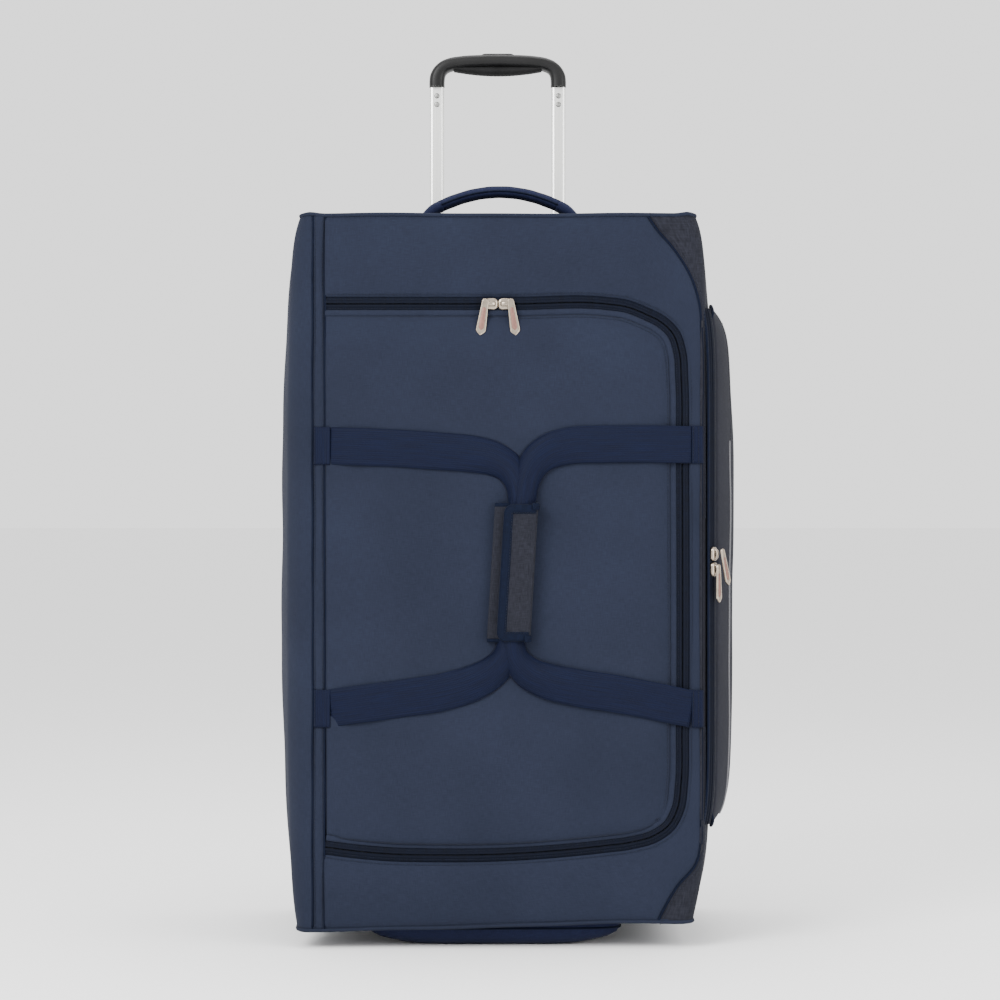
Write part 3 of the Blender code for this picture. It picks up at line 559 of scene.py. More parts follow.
def thread(name, colours):
    """Twisted thread: fine noise in its tone and height."""
    base = shaded(colours.binding, 0.9)
    made = Finish(name, base, 0.5, Sheen_Weight=0.02, Specular_IOR_Level=0.15)
    twist = made.noise(made.coords(False, (1.0, 1.0, 1.0)), 900.0, 1.0)
    made.colour(made.ramp(twist, ((0.3, shaded(base, 0.7)), (0.7, shaded(base, 1.4)))))
    made.bump((twist, 0.0001, 0.5))
    return made.material


def light_cord(name, colours):
    """Reflective cord: even ribs across its length."""
    base = colours.accent
    made = Finish(name, base, 0.42, Sheen_Weight=0.02, Specular_IOR_Level=0.2)
    ribs = made.bands(made.coords(True, (1.0, 1.0, 1.0)), 0.0016, "Y")
    made.colour(made.ramp(ribs, ((0.0, shaded(base, 0.72)), (1.0, shaded(base, 1.1)))))
    made.bump((ribs, 0.00012, 0.5))
    return made.material


def moulded(name, colours):
    """Hard plastic with a spark-eroded grain, scuffed a little paler here and there."""
    base = colours.plastic
    made = Finish(name, base, 0.48, Specular_IOR_Level=0.22)
    place = made.coords(False, (1.0, 1.0, 1.0))
    scuff = made.noise(place, 26.0, 6.0, 0.65)
    made.colour(made.ramp(scuff, ((0.35, shaded(base, 0.85)), (0.75, shaded(base, 1.7)))))
    made.roughness(scuff, 0.40, 0.62)
    made.bump((made.noise(place, 2600.0, 2.0), 0.00008, 0.35))
    return made.material


def soft_touch(name, colours):
    """Grip plastic, polished by hands in places."""
    base = shaded(colours.plastic, 1.15)
    made = Finish(name, base, 0.5, Specular_IOR_Level=0.20, Coat_Weight=0.03, Coat_Roughness=0.5)
    place = made.coords(False, (1.0, 1.0, 1.0))
    worn = made.noise(place, 40.0, 5.0)
    made.colour(made.ramp(worn, ((0.35, shaded(base, 0.9)), (0.7, shaded(base, 1.25)))))
    made.roughness(worn, 0.36, 0.52)
    made.bump((made.noise(place, 3200.0, 1.0), 0.00006, 0.3))
    return made.material


def aluminium(name, colours):
    """Satin tube: fine draw lines along its length and slow streaks in its polish."""
    base = colours.tube
    made = Finish(name, base, 0.34, 1.0)
    draw = made.noise(made.coords(False, (2400.0, 2400.0, 14.0)), 1.0, 3.0)
    slow = made.noise(made.coords(False, (90.0, 90.0, 3.0)), 1.0, 3.0)
    made.colour(made.mix(0.5, made.ramp(draw, ((0.3, shaded(base, 0.92)), (0.7, shaded(base, 1.03)))),
                         made.ramp(slow, ((0.3, shaded(base, 0.95)), (0.7, shaded(base, 1.02))))))
    made.roughness(draw, 0.26, 0.42)
    made.bump((draw, 0.00003, 0.4))
    return made.material


def steel(name, colours):
    """Ground steel: fine noise in its tone, polish and height."""
    made = Finish(name, (0.30, 0.30, 0.29), 0.36, 1.0)
    grind = made.noise(made.coords(False, (1.0, 1.0, 1.0)), 700.0, 4.0)
    made.colour(made.ramp(grind, ((0.3, (0.22, 0.22, 0.21)), (0.7, (0.38, 0.38, 0.37)))))
    made.roughness(grind, 0.24, 0.46)
    made.bump((grind, 0.00003, 0.3))
    return made.material


def champagne(name, colours):
    """Plated zip metal: satin, warmer and rougher where it is handled."""
    base = colours.champagne
    made = Finish(name, base, 0.28, 1.0)
    place = made.coords(False, (1.0, 1.0, 1.0))
    rub = made.noise(place, 210.0, 5.0, 0.6)
    made.colour(made.ramp(rub, ((0.3, shaded(base, 0.82)), (0.7, shaded(base, 1.08)))))
    made.roughness(rub, 0.20, 0.40)
    made.bump((made.noise(place, 1800.0, 2.0), 0.00003, 0.35))
    return made.material


def rose_inset(name, colours):
    """A pull's tinted face, rubbed unevenly."""
    base = colours.inset
    made = Finish(name, base, 0.45, 0.6)
    rub = made.noise(made.coords(False, (1.0, 1.0, 1.0)), 420.0, 4.0)
    made.colour(made.ramp(rub, ((0.3, shaded(base, 0.8)), (0.7, shaded(base, 1.15)))))
    made.roughness(rub, 0.35, 0.6)
    made.bump((rub, 0.00004, 0.4))
    return made.material


def rubber(name, colours):
    """Dusty rubber: slow noise in its tone, fine noise in its height."""
    base = shaded(colours.plastic, 1.6)
    made = Finish(name, base, 0.75, Specular_IOR_Level=0.15)
    place = made.coords(False, (1.0, 1.0, 1.0))
    dust = made.noise(place, 60.0, 6.0, 0.7)
    made.colour(made.ramp(dust, ((0.35, shaded(base, 0.8)), (0.8, shaded(base, 2.0)))))
    made.roughness(dust, 0.62, 0.9)
    made.bump((made.noise(place, 1500.0, 3.0), 0.00012, 0.4))
    return made.material


def pale_floor(name, colours):
    """The studio's floor: nearly one tone, with no reflection."""
    base = colours.floor
    made = Finish(name, base, 1.0, Specular_IOR_Level=0.0)
    slow = made.noise(made.coords(False, (1.0, 1.0, 1.0)), 0.8, 2.0)
    made.colour(made.ramp(slow, ((0.0, shaded(base, 0.99)), (1.0, base))))
    return made.material


FINISHES = {
    "navy_cloth": navy_cloth, "band_cloth": band_cloth, "charcoal_cloth": charcoal_cloth,
    "binding_cloth": binding_cloth, "handle_cloth": handle_cloth, "foot_cloth": foot_cloth,
    "lining_cloth": lining_cloth, "webbing_cloth": webbing_cloth, "zip_cloth": zip_cloth,
    "thread": thread, "light_cord": light_cord, "moulded": moulded, "soft_touch": soft_touch,
    "aluminium": aluminium, "steel": steel, "champagne": champagne, "rose_inset": rose_inset,
    "rubber": rubber, "pale_floor": pale_floor,
}


# ---- the bag's own lines -----------------------------------------------------------------------------
ZIP_LINE = flowing([
    (HINGE, 0, ZIP_TOP), (-0.080, 0, ZIP_TOP), (0.020, 0, ZIP_TOP), (0.108, 0, ZIP_TOP), (0.130, 0, 0.6418),
    (0.1475, 0, 0.6350), (0.1640, 0, 0.6265), (0.1755, 0, 0.6150), (0.1815, 0, 0.5980), (0.1838, 0, 0.5700),
    (0.1845, 0, 0.500), (0.1850, 0, 0.370), (0.1845, 0, 0.220), (0.1835, 0, 0.165), (0.1800, 0, 0.1405),
    (0.1715, 0, 0.1240), (0.1560, 0, 0.1130), (0.1350, 0, 0.1070), (0.105, 0, 0.1030), (0.060, 0, 0.0985),
    (0.0, 0, 0.0950), (-0.060, 0, 0.0945), (-0.110, 0, 0.0958), (-0.150, 0, 0.0995), (HINGE, 0, 0.1025),
], 560)
RIGHT_SEAM = flowing([
    (0.150, 0, TOP - 0.0005), (0.1615, 0, 0.7170), (0.1715, 0, 0.7060), (0.1815, 0, 0.6930),
    (0.1945, 0, 0.6700), (0.2020, 0, 0.6450), (0.2040, 0, 0.6200), (0.2045, 0, 0.500),
    (0.2045, 0, 0.250), (0.2040, 0, 0.130),
    (0.2030, 0, 0.1000), (0.1985, 0, 0.0850), (0.1795, 0, 0.0620), (0.1665, 0, 0.0400), (0.160, 0, BOTTOM),
], 300)
SIDE_RADIUS, BACK_RADIUS = 0.024, 0.022
BACK_SEAM = 0.183


def moved(line, by):
    """A line in the front plane carried sideways, outwards from the lid for a positive distance."""
    tangent = unit(np.gradient(line, axis=0))
    return line + by * np.stack((-tangent[:, 2], 0 * tangent[:, 0], tangent[:, 0]), -1)


def reach(z, side):
    """How far a side wall stands off the middle: drawn in where it meets the top and bottom seams."""
    least = 0.2060 - 0.0085 * np.exp(-(TOP - z) / 0.019)
    if side < 0:
        return least - 0.0050 * np.exp(-(z - BOTTOM) / 0.020)
    return least + 0.0010 - 0.0110 * np.clip(1 - (z - BOTTOM) / 0.085, 0, 1) ** 1.6


def bulge(y, z):
    """How far a side wall swells between its four edges."""
    return size("wall_swell") * swell((z - BOTTOM) / (TOP - BOTTOM), 3) * swell(y / DEPTH, 3)


def settle(points):
    """The front of the base sags towards the left, where the foot carries less of it."""
    x, y, z = points[..., 0], points[..., 1], points[..., 2]
    drop = 0.0080 * ease((0.15 - x) / 0.32) * np.exp(-(z - BOTTOM) / 0.030) * ease((0.12 - y) / 0.12)
    return points - np.stack((0 * x, 0 * x, drop), -1)


def wall_rows(z, side, seam, front=8, corner=10, flank=40):
    """Rows of a side wall at heights z: from its front seam round the corner, back, and round to the back."""
    far = reach(z, side)[:, None]
    radius = np.clip(far - seam[:, None], 0.0035, SIDE_RADIUS if side < 0 else 0.014)
    share = np.linspace(0, 1, front, endpoint=False)
    x0 = seam[:, None] + (far - radius - seam[:, None]) * share
    turn = np.radians(np.linspace(-90, 0, corner, endpoint=False))
    x1, y1 = far - radius + radius * np.cos(turn), radius + radius * np.sin(turn)
    span = np.linspace(0, 1, flank, endpoint=False)
    y2 = radius + (DEPTH - BACK_RADIUS - radius) * span
    x2 = far + 0 * y2
    turn = np.radians(np.linspace(0, 90, corner))
    x3 = far - BACK_RADIUS + BACK_RADIUS * np.cos(turn)
    y3 = DEPTH - BACK_RADIUS + BACK_RADIUS * np.sin(turn) + 0 * far
    x = np.concatenate((x0, x1, x2, x3, 0 * far + BACK_SEAM), 1)
    y = np.concatenate((0 * x0, y1, y2, y3, 0 * far + DEPTH), 1)
    height = z[:, None] + 0 * x
    x = x + bulge(y, height) * ease((x - BACK_SEAM) / 0.016)
    inside = swell((z - BOTTOM) / (TOP - BOTTOM), 8)[:, None]
    soft = creases(y, height, (0.31, 0.17, 0.23, 0.09), 7 + side) * 0.0013 * inside
    x = x + soft * ease((y - 0.01) / 0.03) * ease((DEPTH - 0.02 - y) / 0.03)
    puff = swell(np.clip((x - seam[:, None]) / (far - seam[:, None] + 1e-6), 0, 1), 2.2)
    y = y - 0.0014 * puff * ease((0.02 - y) / 0.02) * (1 if side < 0 else 0.6)
    return np.stack((side * x, y, height), -1)


def dense_heights(count):
    """Heights from the base to the top, closer together near both ends: share - 0.09 sin(2 pi share)."""
    foot, head = BOTTOM + 0.0004, TOP - 0.0004
    share = np.linspace(0, 1, count)
    return foot + (head - foot) * (share - 0.09 * np.sin(2 * math.pi * share))


def plan_loop(z):
    """The bag's outline seen from above where the walls meet the top or the base."""
    level = np.array([z])
    left = wall_rows(level, -1, np.array([-LEFT_SEAM]))[0]
    right = wall_rows(level, 1, np.array([0.155]))[0]
    front = np.stack((np.linspace(LEFT_SEAM, 0.155, 60)[1:-1], np.zeros(58), np.full(58, z)), -1)
    back = np.stack((np.linspace(BACK_SEAM, -BACK_SEAM, 40)[1:-1], np.full(38, DEPTH), np.full(38, z)), -1)
    loop = np.concatenate((front, right, back, left[::-1]))
    closed = np.concatenate((loop, loop[:1]))
    return evenly(closed, 0.0045)[:-1]


# ---- fabric body -------------------------------------------------------------------------------------
def side_walls():
    """Left and right walls, each a run of level rows, with the seams of the two corner patches."""
    z = dense_heights(130)
    order = np.argsort(RIGHT_SEAM[:, 2])
    seam = np.interp(z, RIGHT_SEAM[order, 2], RIGHT_SEAM[order, 0])
    rows = wall_rows(z, -1, np.full(len(z), -LEFT_SEAM))
    left = grid("left_wall", settle(rows), facing=(-1, -0.2, 0), thick=size("wall_cloth"))
    finish(left, "navy_cloth", BODY, "navy_fabric", "side_panel_left")
    right = grid("right_wall", settle(wall_rows(z, 1, seam)), facing=(1, -0.2, 0), thick=size("wall_cloth"))
    finish(right, "charcoal_cloth", BODY, "charcoal_fabric",
           "side_panel_right", "corner_patch_upper", "corner_patch_lower")
    trims = (("upper", RIGHT_SEAM[:130]), ("lower", RIGHT_SEAM[215:]))
    for name, line in trims:
        path = settle(line + (0, -0.0006, 0))
        cord(f"corner_seam_{name}", path, (0.0011, 0.0008, 8), AHEAD, "binding_cloth", BODY, "navy_fabric")
        row = settle(moved(line, 0.0032) + (0, -0.0022, 0))
        sew(BODY, "navy_fabric", f"corner_stitches_{name}", row, ACROSS)


def front_band():
    """The narrow band between the left wall and the lid: two seams with a soft swell between."""
    z = dense_heights(120)
    share = np.linspace(0, 1, 11)
    x = LEFT_SEAM + (HINGE - LEFT_SEAM) * share[None, :] + 0 * z[:, None]
    y = 0.0010 - 0.0020 * swell(share, 2.5)[None, :] + 0.0004 * creases(x, z[:, None], (0.06, 0.11), 3)
    points = np.stack((x, y, z[:, None] + 0 * x), -1)
    band = grid("front_band_cloth", settle(points), facing=AHEAD, thick=0.0018)
    finish(band, "band_cloth", BODY, "navy_fabric", "front_band")
    for name, x0 in (("wall", LEFT_SEAM), ("hinge", HINGE)):
        path = np.stack((np.full(90, x0), np.full(90, -0.0002), np.linspace(BOTTOM, TOP, 90)), -1)
        path[:, 0] += 0.0006 * creases(path[:, 0], path[:, 2], (0.17, 0.09), 11)
        cord(f"{name}_seam", settle(path), (0.0009, 0.0009, 8), AHEAD, "binding_cloth", BODY, "navy_fabric")
        aside = path + (0.0026, -0.0006, 0) if x0 == LEFT_SEAM else path - (0.0026, 0.0004, 0)
        sew(BODY, "navy_fabric", f"{name}_stitches", settle(aside), ACROSS)


def front_frame():
    """The fabric outside the zip: lofted from the zip's edge to the seams, rolled in at both and puffed."""
    inner = moved(ZIP_LINE, 0.0066)
    cuts = [0, int(np.argmin(np.abs(ZIP_LINE[:, 0] - 0.118) + (ZIP_LINE[:, 2] < 0.4))),
            int(np.argmin(np.linalg.norm(ZIP_LINE - (0.1838, 0, 0.57), axis=1))),
            int(np.argmin(np.linalg.norm(ZIP_LINE - (0.1835, 0, 0.165), axis=1))),
            int(np.argmin(np.abs(ZIP_LINE[:, 0] - 0.120) + (ZIP_LINE[:, 2] > 0.4))), len(ZIP_LINE) - 1]
    high_seam = int(np.argmin(np.abs(RIGHT_SEAM[:, 2] - 0.620)))
    low_seam = int(np.argmin(np.abs(RIGHT_SEAM[:, 2] - 0.130)))
    top_edge = np.array([(HINGE, 0, TOP - 0.0006), (RIGHT_SEAM[0, 0], 0, TOP - 0.0006)])
    low_edge = np.array([(RIGHT_SEAM[-1, 0], 0, BOTTOM + 0.0004), (HINGE, 0, BOTTOM + 0.0004)])
    seams = [RIGHT_SEAM[: high_seam + 1], RIGHT_SEAM[high_seam: low_seam + 1], RIGHT_SEAM[low_seam:]]
    outer = [top_edge, *seams, low_edge]
    counts = (90, 30, 90, 30, 90)
    ins, outs = [], []
    for k, count in enumerate(counts):
        ins.append(resample(inner[cuts[k]: cuts[k + 1] + 1], count)[(k > 0):])
        outs.append(resample(outer[k], count)[(k > 0):])
    ins, outs = np.concatenate(ins), np.concatenate(outs)
    v = 0.5 - 0.5 * np.cos(np.linspace(0, math.pi, 30))
    points = ins[None] + (outs - ins)[None] * v[:, None, None]
    wide = np.linalg.norm(outs - ins, axis=1)[None]
    near, far = v[:, None] * wide, (1 - v)[:, None] * wide
    roll = (1 - np.exp(-near / 0.0016)) * (1 - np.exp(-far / 0.0022))
    puff = swell(v, 2)[:, None] * np.clip(wide / 0.08, 0, 1)
    soft = creases(points[..., 0], points[..., 2], (0.27, 0.16, 0.10), 21) * roll
    points[..., 1] = 0.0014 - 0.0024 * roll - 0.0024 * puff + 0.0008 * soft
    frame_cloth = grid("front_frame", settle(points), facing=AHEAD, thick=0.0020)
    finish(frame_cloth, "navy_cloth", BODY, "navy_fabric", "front_panel")
    row = settle(moved(ZIP_LINE, 0.0096) + (0, -0.0016, 0))
    sew(BODY, "navy_fabric", "frame_stitches", row, ACROSS)


def by_share(line, share):
    """Points of a dense line at shares of its length."""
    far = np.r_[0, np.cumsum(np.linalg.norm(np.diff(line, axis=0), axis=1))]
    return np.stack([np.interp(share * far[-1], far, line[:, k]) for k in range(line.shape[1])], -1)


def resample(line, count):
    """Points at equal shares of a line's length."""
    return by_share(line, np.linspace(0, 1, count))


def end_panels():
    """Top and base: a patch between the four edges, gently domed, with piping round it."""
    share = 0.5 - 0.5 * np.cos(np.linspace(0, math.pi, 60))
    ends = (("top_panel", TOP, 1, "end_panel_top"), ("base_panel", BOTTOM, -1, "end_panel_bottom"))
    for name, z, way, node in ends:
        loop = plan_loop(z)
        corners = [int(np.argmin(loop @ at)) for at in ((1, 1, 0), (-1, 1, 0), (-1, -1, 0), (1, -1, 0))]
        loop = np.roll(loop, -corners[0], axis=0)
        corners = [(k - corners[0]) % len(loop) for k in corners] + [len(loop)]
        loop = np.concatenate((loop, loop[:1]))
        edges = [by_share(loop[corners[k]: corners[k + 1] + 1], share) for k in range(4)]
        points = coons(edges[0], edges[2][::-1], edges[3][::-1], edges[1])
        edge = np.minimum.outer(swell(share, 12), swell(share, 12))
        soft = creases(points[..., 0], points[..., 1], (0.31, 0.22, 0.17), 5)
        points[..., 2] += way * (edge * (0.0012 + 0.0007 * soft) - 0.0012)
        cloth = grid(name, settle(points), facing=(0, 0, way), thick=0.0018)
        finish(cloth, "navy_cloth", BODY, "navy_fabric", node)
        path = loop[:-1].copy()
        front = ease((0.03 - path[:, 1]) / 0.03)
        path[:, 2] += 0.0007 * front * creases(path[:, 0], path[:, 1], (0.11, 0.07, 0.19), 9)
        if way > 0:
            ear = np.exp(-((path[:, 0] + 0.187) / 0.008) ** 2) + np.exp(-((path[:, 0] - 0.190) / 0.007) ** 2)
            path[:, 2] += 0.0016 * front * ear
        cord(f"{name}_piping", settle(path), PIPING, UP, "band_cloth", BODY, "navy_fabric", True)


def back_panel():
    """The flat back: a sheet that stands 1.8 mm proud inside its edges, with seams up both sides."""
    z, x = dense_heights(60), np.linspace(-BACK_SEAM, BACK_SEAM, 70)
    x, z = np.meshgrid(x, z)
    edge = swell((x + BACK_SEAM) / (2 * BACK_SEAM), 30) * swell((z - BOTTOM) / (TOP - BOTTOM), 30)
    y = DEPTH - 0.0012 + 0.0018 * edge + 0.0007 * creases(x, z, (0.22, 0.13, 0.3), 31)
    cloth = grid("back_cloth", np.stack((x, y, z), -1), facing=BACK, thick=0.0020)
    finish(cloth, "navy_cloth", BODY, "navy_fabric", "back_panel")
    for side in (-1, 1):
        x, y, z = side * BACK_SEAM, DEPTH - 0.0002, np.linspace(BOTTOM, TOP, 90)
        path = np.stack(np.broadcast_arrays(x, y, z), -1)
        cord(f"back_seam_{side}", path, (0.0016, 0.0016, 10), BACK, "band_cloth", BODY, "navy_fabric")
        row = path + (-side * 0.0045, 0.0004, 0)
        sew(BODY, "navy_fabric", f"back_stitches_{side}", row, ACROSS)


def well_covers():
    """Lining boxes over the wheel housings where they stand inside the compartment."""
    for side, word in ((-1, "left"), (1, "right")):
        outline = rounded(0.048, 0.092, 0.012, 6, (side * 0.1695, 0.0800))
        shape = ((0.0, 0.0), (0.0, 0.050), (0.0012, 0.0545), (0.0045, 0.0580), (0.0090, 0.0595))
        cover = moulding(f"well_cover_{word}", outline, shape, (0, 0.266, 0), (ACROSS, UP, AHEAD), 70)
        finish(cover, "lining_cloth", BODY, "navy_fabric")


def lining():
    """A smooth bag inside: rings from the mouth to the back board, then drawn in to close it."""
    well_covers()
    y = np.r_[np.linspace(0.0045, 0.262, 26), 0.2635, 0.2640, 0.2640]
    inset = np.r_[np.linspace(0, 0, 26), 0.010, 0.10, 0.185]
    rings = []
    for at, by in zip(y, inset):
        wide, tall = 0.388 - 2 * min(by, 0.19), 0.690 - 2 * by
        outline = rounded(wide, tall, max(0.001, 0.030 - by), 8, (0.0, 0.3805))
        rings.append(np.stack((outline[:, 0], np.full(len(outline), at), outline[:, 1]), -1))
    points = np.stack(rings)
    fold = creases(points[..., 0] + points[..., 2], points[..., 1], (0.13, 0.21, 0.07), 41)
    middle = np.array((0, 0.13, 0.3805))
    points = points + unit(middle - points) * (0.0016 * fold * ease(points[..., 1] / 0.03))[..., None]
    cloth = grid("lining", points, around=True, open_ends=(True, False), inside=True)
    finish(cloth, "lining_cloth", BODY, "navy_fabric")


# ---- lid and zip -------------------------------------------------------------------------------------
def lid_height(left, top, right, base):
    """How far the lid stands proud: its rise times 1 - exp(-distance / run) for each of its four edges."""
    rise = size("lid_rise")
    for distance, run in ((left, 0.026), (top, 0.013), (right, 0.011), (base, 0.0055)):
        rise = rise * (1 - np.exp(-np.maximum(distance, 0) / run))
    return rise


def coons(base, top, left, right):
    """A patch between four edges: both ways of lofting, less what the corners count twice."""
    v, u = np.linspace(0, 1, len(left))[:, None, None], np.linspace(0, 1, len(base))[None, :, None]
    along = (1 - v) * base[None] + v * top[None] + (1 - u) * left[:, None] + u * right[:, None]
    corner = (1 - v) * ((1 - u) * base[0] + u * base[-1]) + v * ((1 - u) * top[0] + u * top[-1])
    return along - corner


def nearest(points, line):
    """Distance from each point to a line in the front plane."""
    flat, line = points.reshape(-1, 3)[:, ::2], line[:, ::2]
    best = np.full(len(flat), np.inf)
    for start, end in zip(line[:-1:2], line[2::2]):
        along = end - start
        share = np.clip(((flat - start) @ along) / (along @ along), 0, 1)
        best = np.minimum(best, np.linalg.norm(flat - start - share[:, None] * along, axis=1))
    return best.reshape(points.shape[:-1])


def lid():
    """The lid: a patch between its four edges, lifted by its distance to each, slack and gathered."""
    edge = moved(ZIP_LINE, -0.0120)
    ends = ((0.163, 0, 0.612), (0.161, 0, 0.132))
    upper, lower = (int(np.argmin(np.linalg.norm(edge - at, axis=1))) for at in ends)
    top = resample(edge[: upper + 1], 150)
    right = resample(edge[upper: lower + 1][::-1], 190)
    foot = resample(edge[lower:][::-1], 150)
    left = resample(np.array([foot[0], top[0]]), 190)
    points = coons(foot, top, left, right)
    x, z = points[..., 0].copy(), points[..., 2].copy()
    gaps = [nearest(points, resample(line, 201)) for line in (top, right, foot)]
    height = lid_height(x - HINGE, *gaps)
    broad = creases(x, z, (0.34, 0.23, 0.41, 0.16), 52)
    fine = creases(x, z, (0.060, 0.045, 0.085), 53)
    free = height / size("lid_rise")
    gather = np.exp(-(x - HINGE) / 0.030) * np.sin(2 * math.pi * z / 0.037 + 2 * np.sin(z * 31)) * 0.0005
    slack = free * (0.0016 * broad + 0.00045 * fine)
    points[..., 1] = -0.0006 - height - slack - gather * ease((x - HINGE) / 0.004)
    hang = 0.0066 * np.exp(-(gaps[2] / 0.014) ** 2) * (1 - np.exp(-gaps[2] / 0.0022))
    points[..., 2] = z - hang * ease((x - HINGE) / 0.02)
    cloth = grid("lid_cloth", points, facing=AHEAD, thick=size("wall_cloth"))
    finish(cloth, "navy_cloth", "lid", "navy_fabric", "lid_panel")
    inner = points[4:-4:4, 4:-4:4].copy()
    inner[..., 1] = np.minimum(inner[..., 1] + 0.0030, 0.0026)
    backing = grid("lid_lining", inner, facing=BACK)
    finish(backing, "lining_cloth", "lid", "navy_fabric")
    row = moved(ZIP_LINE, -0.0146)[6:-6]
    row[:, 1] = -0.0024
    keep = ZIP_LINE[6:-6, 2] > 0.13
    sew("lid", "navy_fabric", "lid_stitches", row[keep], ACROSS)


ZIP_BUMPS = ((0.0003, -0.0006), (0.0006, 0.0004), (0.0012, 0.0010), (0.0021, 0.0011), (0.0029, 0.0006),
             (0.0034, 0.0001), (0.0046, 0.0001), (0.0070, -0.0004))
WELT_BUMPS = ((0.0058, -0.0006), (0.0062, 0.0006), (0.0075, 0.0013), (0.0095, 0.0014), (0.0115, 0.0010),
              (0.0126, -0.0004))


def run_of(bumps, way, ahead=0.0):
    """Rows beside the zip's line, one for each (distance, height)."""
    rows = [moved(ZIP_LINE, way * at) + (0, ahead - height, 0) for at, height in bumps]
    return np.stack(rows)


def zips():
    """The main zip's two tapes, each a profile carried along the zip's line, and the lid's welt."""
    tapes = (("frame", 1, BODY, "main_zip_tape_frame"), ("lid", -1, "lid", "main_zip_tape_lid"))
    for name, way, body, node in tapes:
        tape = grid(f"zip_{name}", settle(run_of(ZIP_BUMPS, way)), facing=AHEAD, thick=0.0010)
        finish(tape, "zip_cloth", body, "zip_tape", node)
        row = run_of(((0.0043, 0.0003),), way)[0]
        sew(body, "zip_tape", f"zip_{name}_stitches", settle(row), ACROSS, 0.0026, 0.0018, 0.0006)
    welt = grid("lid_welt", run_of(WELT_BUMPS, -1), facing=AHEAD, thick=0.0012)
    finish(welt, "navy_cloth", "lid", "navy_fabric")


def tag(long, wide):
    """A pull's outline, anticlockwise from its eye: a narrow neck, a broad body and a drawn-in tip."""
    side = flowing([
        (0, 0.0024), (0.52, 0.0016), (0.70, -0.0010), (0.74, -0.0040), (0.80, -0.0100), (0.87, -0.0160),
        (1.0, -long + 0.0062), (1.0, -long + 0.0052), (0.55, -long + 0.0022), (0.0, -long),
    ] * np.array((wide / 2, 1.0)), 34)
    return np.concatenate((side * (-1, 1), side[::-1][1:-1]))


def leaning(right, up, degrees_):
    """Axes turned in their own plane."""
    right, up = np.asarray(right, float), np.asarray(up, float)
    c, s = math.cos(math.radians(degrees_)), math.sin(math.radians(degrees_))
    return right * c + up * s, up * c - right * s


def zip_pull(name, eye, right, up, out, long, wide, lean, body, node):
    """A pull: the tag's outline with a rolled rim, and a tinted inset of the same outline."""
    right, up = leaning(right, up, lean)
    rim = ((0.0, -0.0008), (0.0, 0.0002), (0.0003, 0.0009), (0.0008, 0.0011), (0.0012, 0.0009),
           (0.0013, 0.0006))
    plate = moulding(name, tag(long, wide), rim, eye, (right, up, out), 50)
    finish(plate, "champagne", body, "champagne_metal", node)
    middle = np.array((0.0, -0.60 * long))
    face = (tag(long, wide) - middle) * (0.54, 0.62) + middle
    raised = ((0.0, 0.0002), (0.0, 0.0009), (0.0003, 0.0011))
    inset = moulding(f"{name}_inset", face, raised, eye, (right, up, out), 0)
    finish(inset, "rose_inset", body, "champagne_metal")


def zip_slider(name, centre, right, up, out, long, wide, body, node):
    """A slider's top plate, its wings and the bridge that the pull hangs from."""
    centre, right, up, out = (np.asarray(v, float) for v in (centre, right, up, out))
    outline = rounded(long, wide, min(long, wide) * 0.38, 5)
    outline[:, 1] *= 1 - 0.16 * (outline[:, 0] / long + 0.5)
    shape = ((0.0, -0.0022), (0.0, -0.0004), (0.0004, 0.0005), (0.0012, 0.0011), (0.0026, 0.0013))
    plate = moulding(name, outline, shape, centre, (right, up, out), 55)
    finish(plate, "champagne", body, "champagne_metal", node)
    t = np.linspace(0, math.pi, 18)[:, None]
    path = centre + right * np.cos(t) * long * 0.33 + out * (0.0010 + np.sin(t) * 0.0026)
    cord(f"{name}_bridge", path, (0.0019, 0.0007, 10, 3.0), out, "champagne", body, "champagne_metal")


def main_sliders():
    """The two main sliders, nose to nose, and their pulls."""
    for side, name in ((-1, "left"), (1, "right")):
        joint = JOINTS[f"main_pull_{name}_lift"]
        eye = bag(joint["pos_m"])
        centre = (low(f"main_slider_{name}") + high(f"main_slider_{name}")) / 2 - ORIGIN
        out = AHEAD
        at = (centre[0] + side * 0.0002, -0.0022, centre[2])
        zip_slider(f"slider_{name}", at, (side, 0, 0), UP, out, 0.0164, 0.0126,
                   f"main_zip_slider_{name}", f"main_slider_{name}")
        spread = 9 * side
        zip_pull(f"pull_{name}", eye + (0, 0.0001, 0.0004), ACROSS, UP, out, 0.0352, 0.0100, spread,
                 f"main_zip_pull_{name}", f"main_pull_{name}")


# ---- webbing and grips -------------------------------------------------------------------------------
def ribbon(name, points, count=150, across=13, thick=0.0016):
    """Webbing along a line of (x, y, z, width, curl): each cross-section is an arc whose total angle is the
    curl, with its edges turned back towards the bag."""
    line = flowing(points, count)
    path, wide, curl = line[:, :3], line[:, 3:4], np.maximum(line[:, 4:5], 0.02)
    q = np.linspace(-0.5, 0.5, across)[None]
    over, back = wide / curl * np.sin(curl * q), wide / curl * (1 - np.cos(curl * q))
    return grid(name, swept(path, np.stack((over, -back), -1), AHEAD), facing=AHEAD, thick=thick)


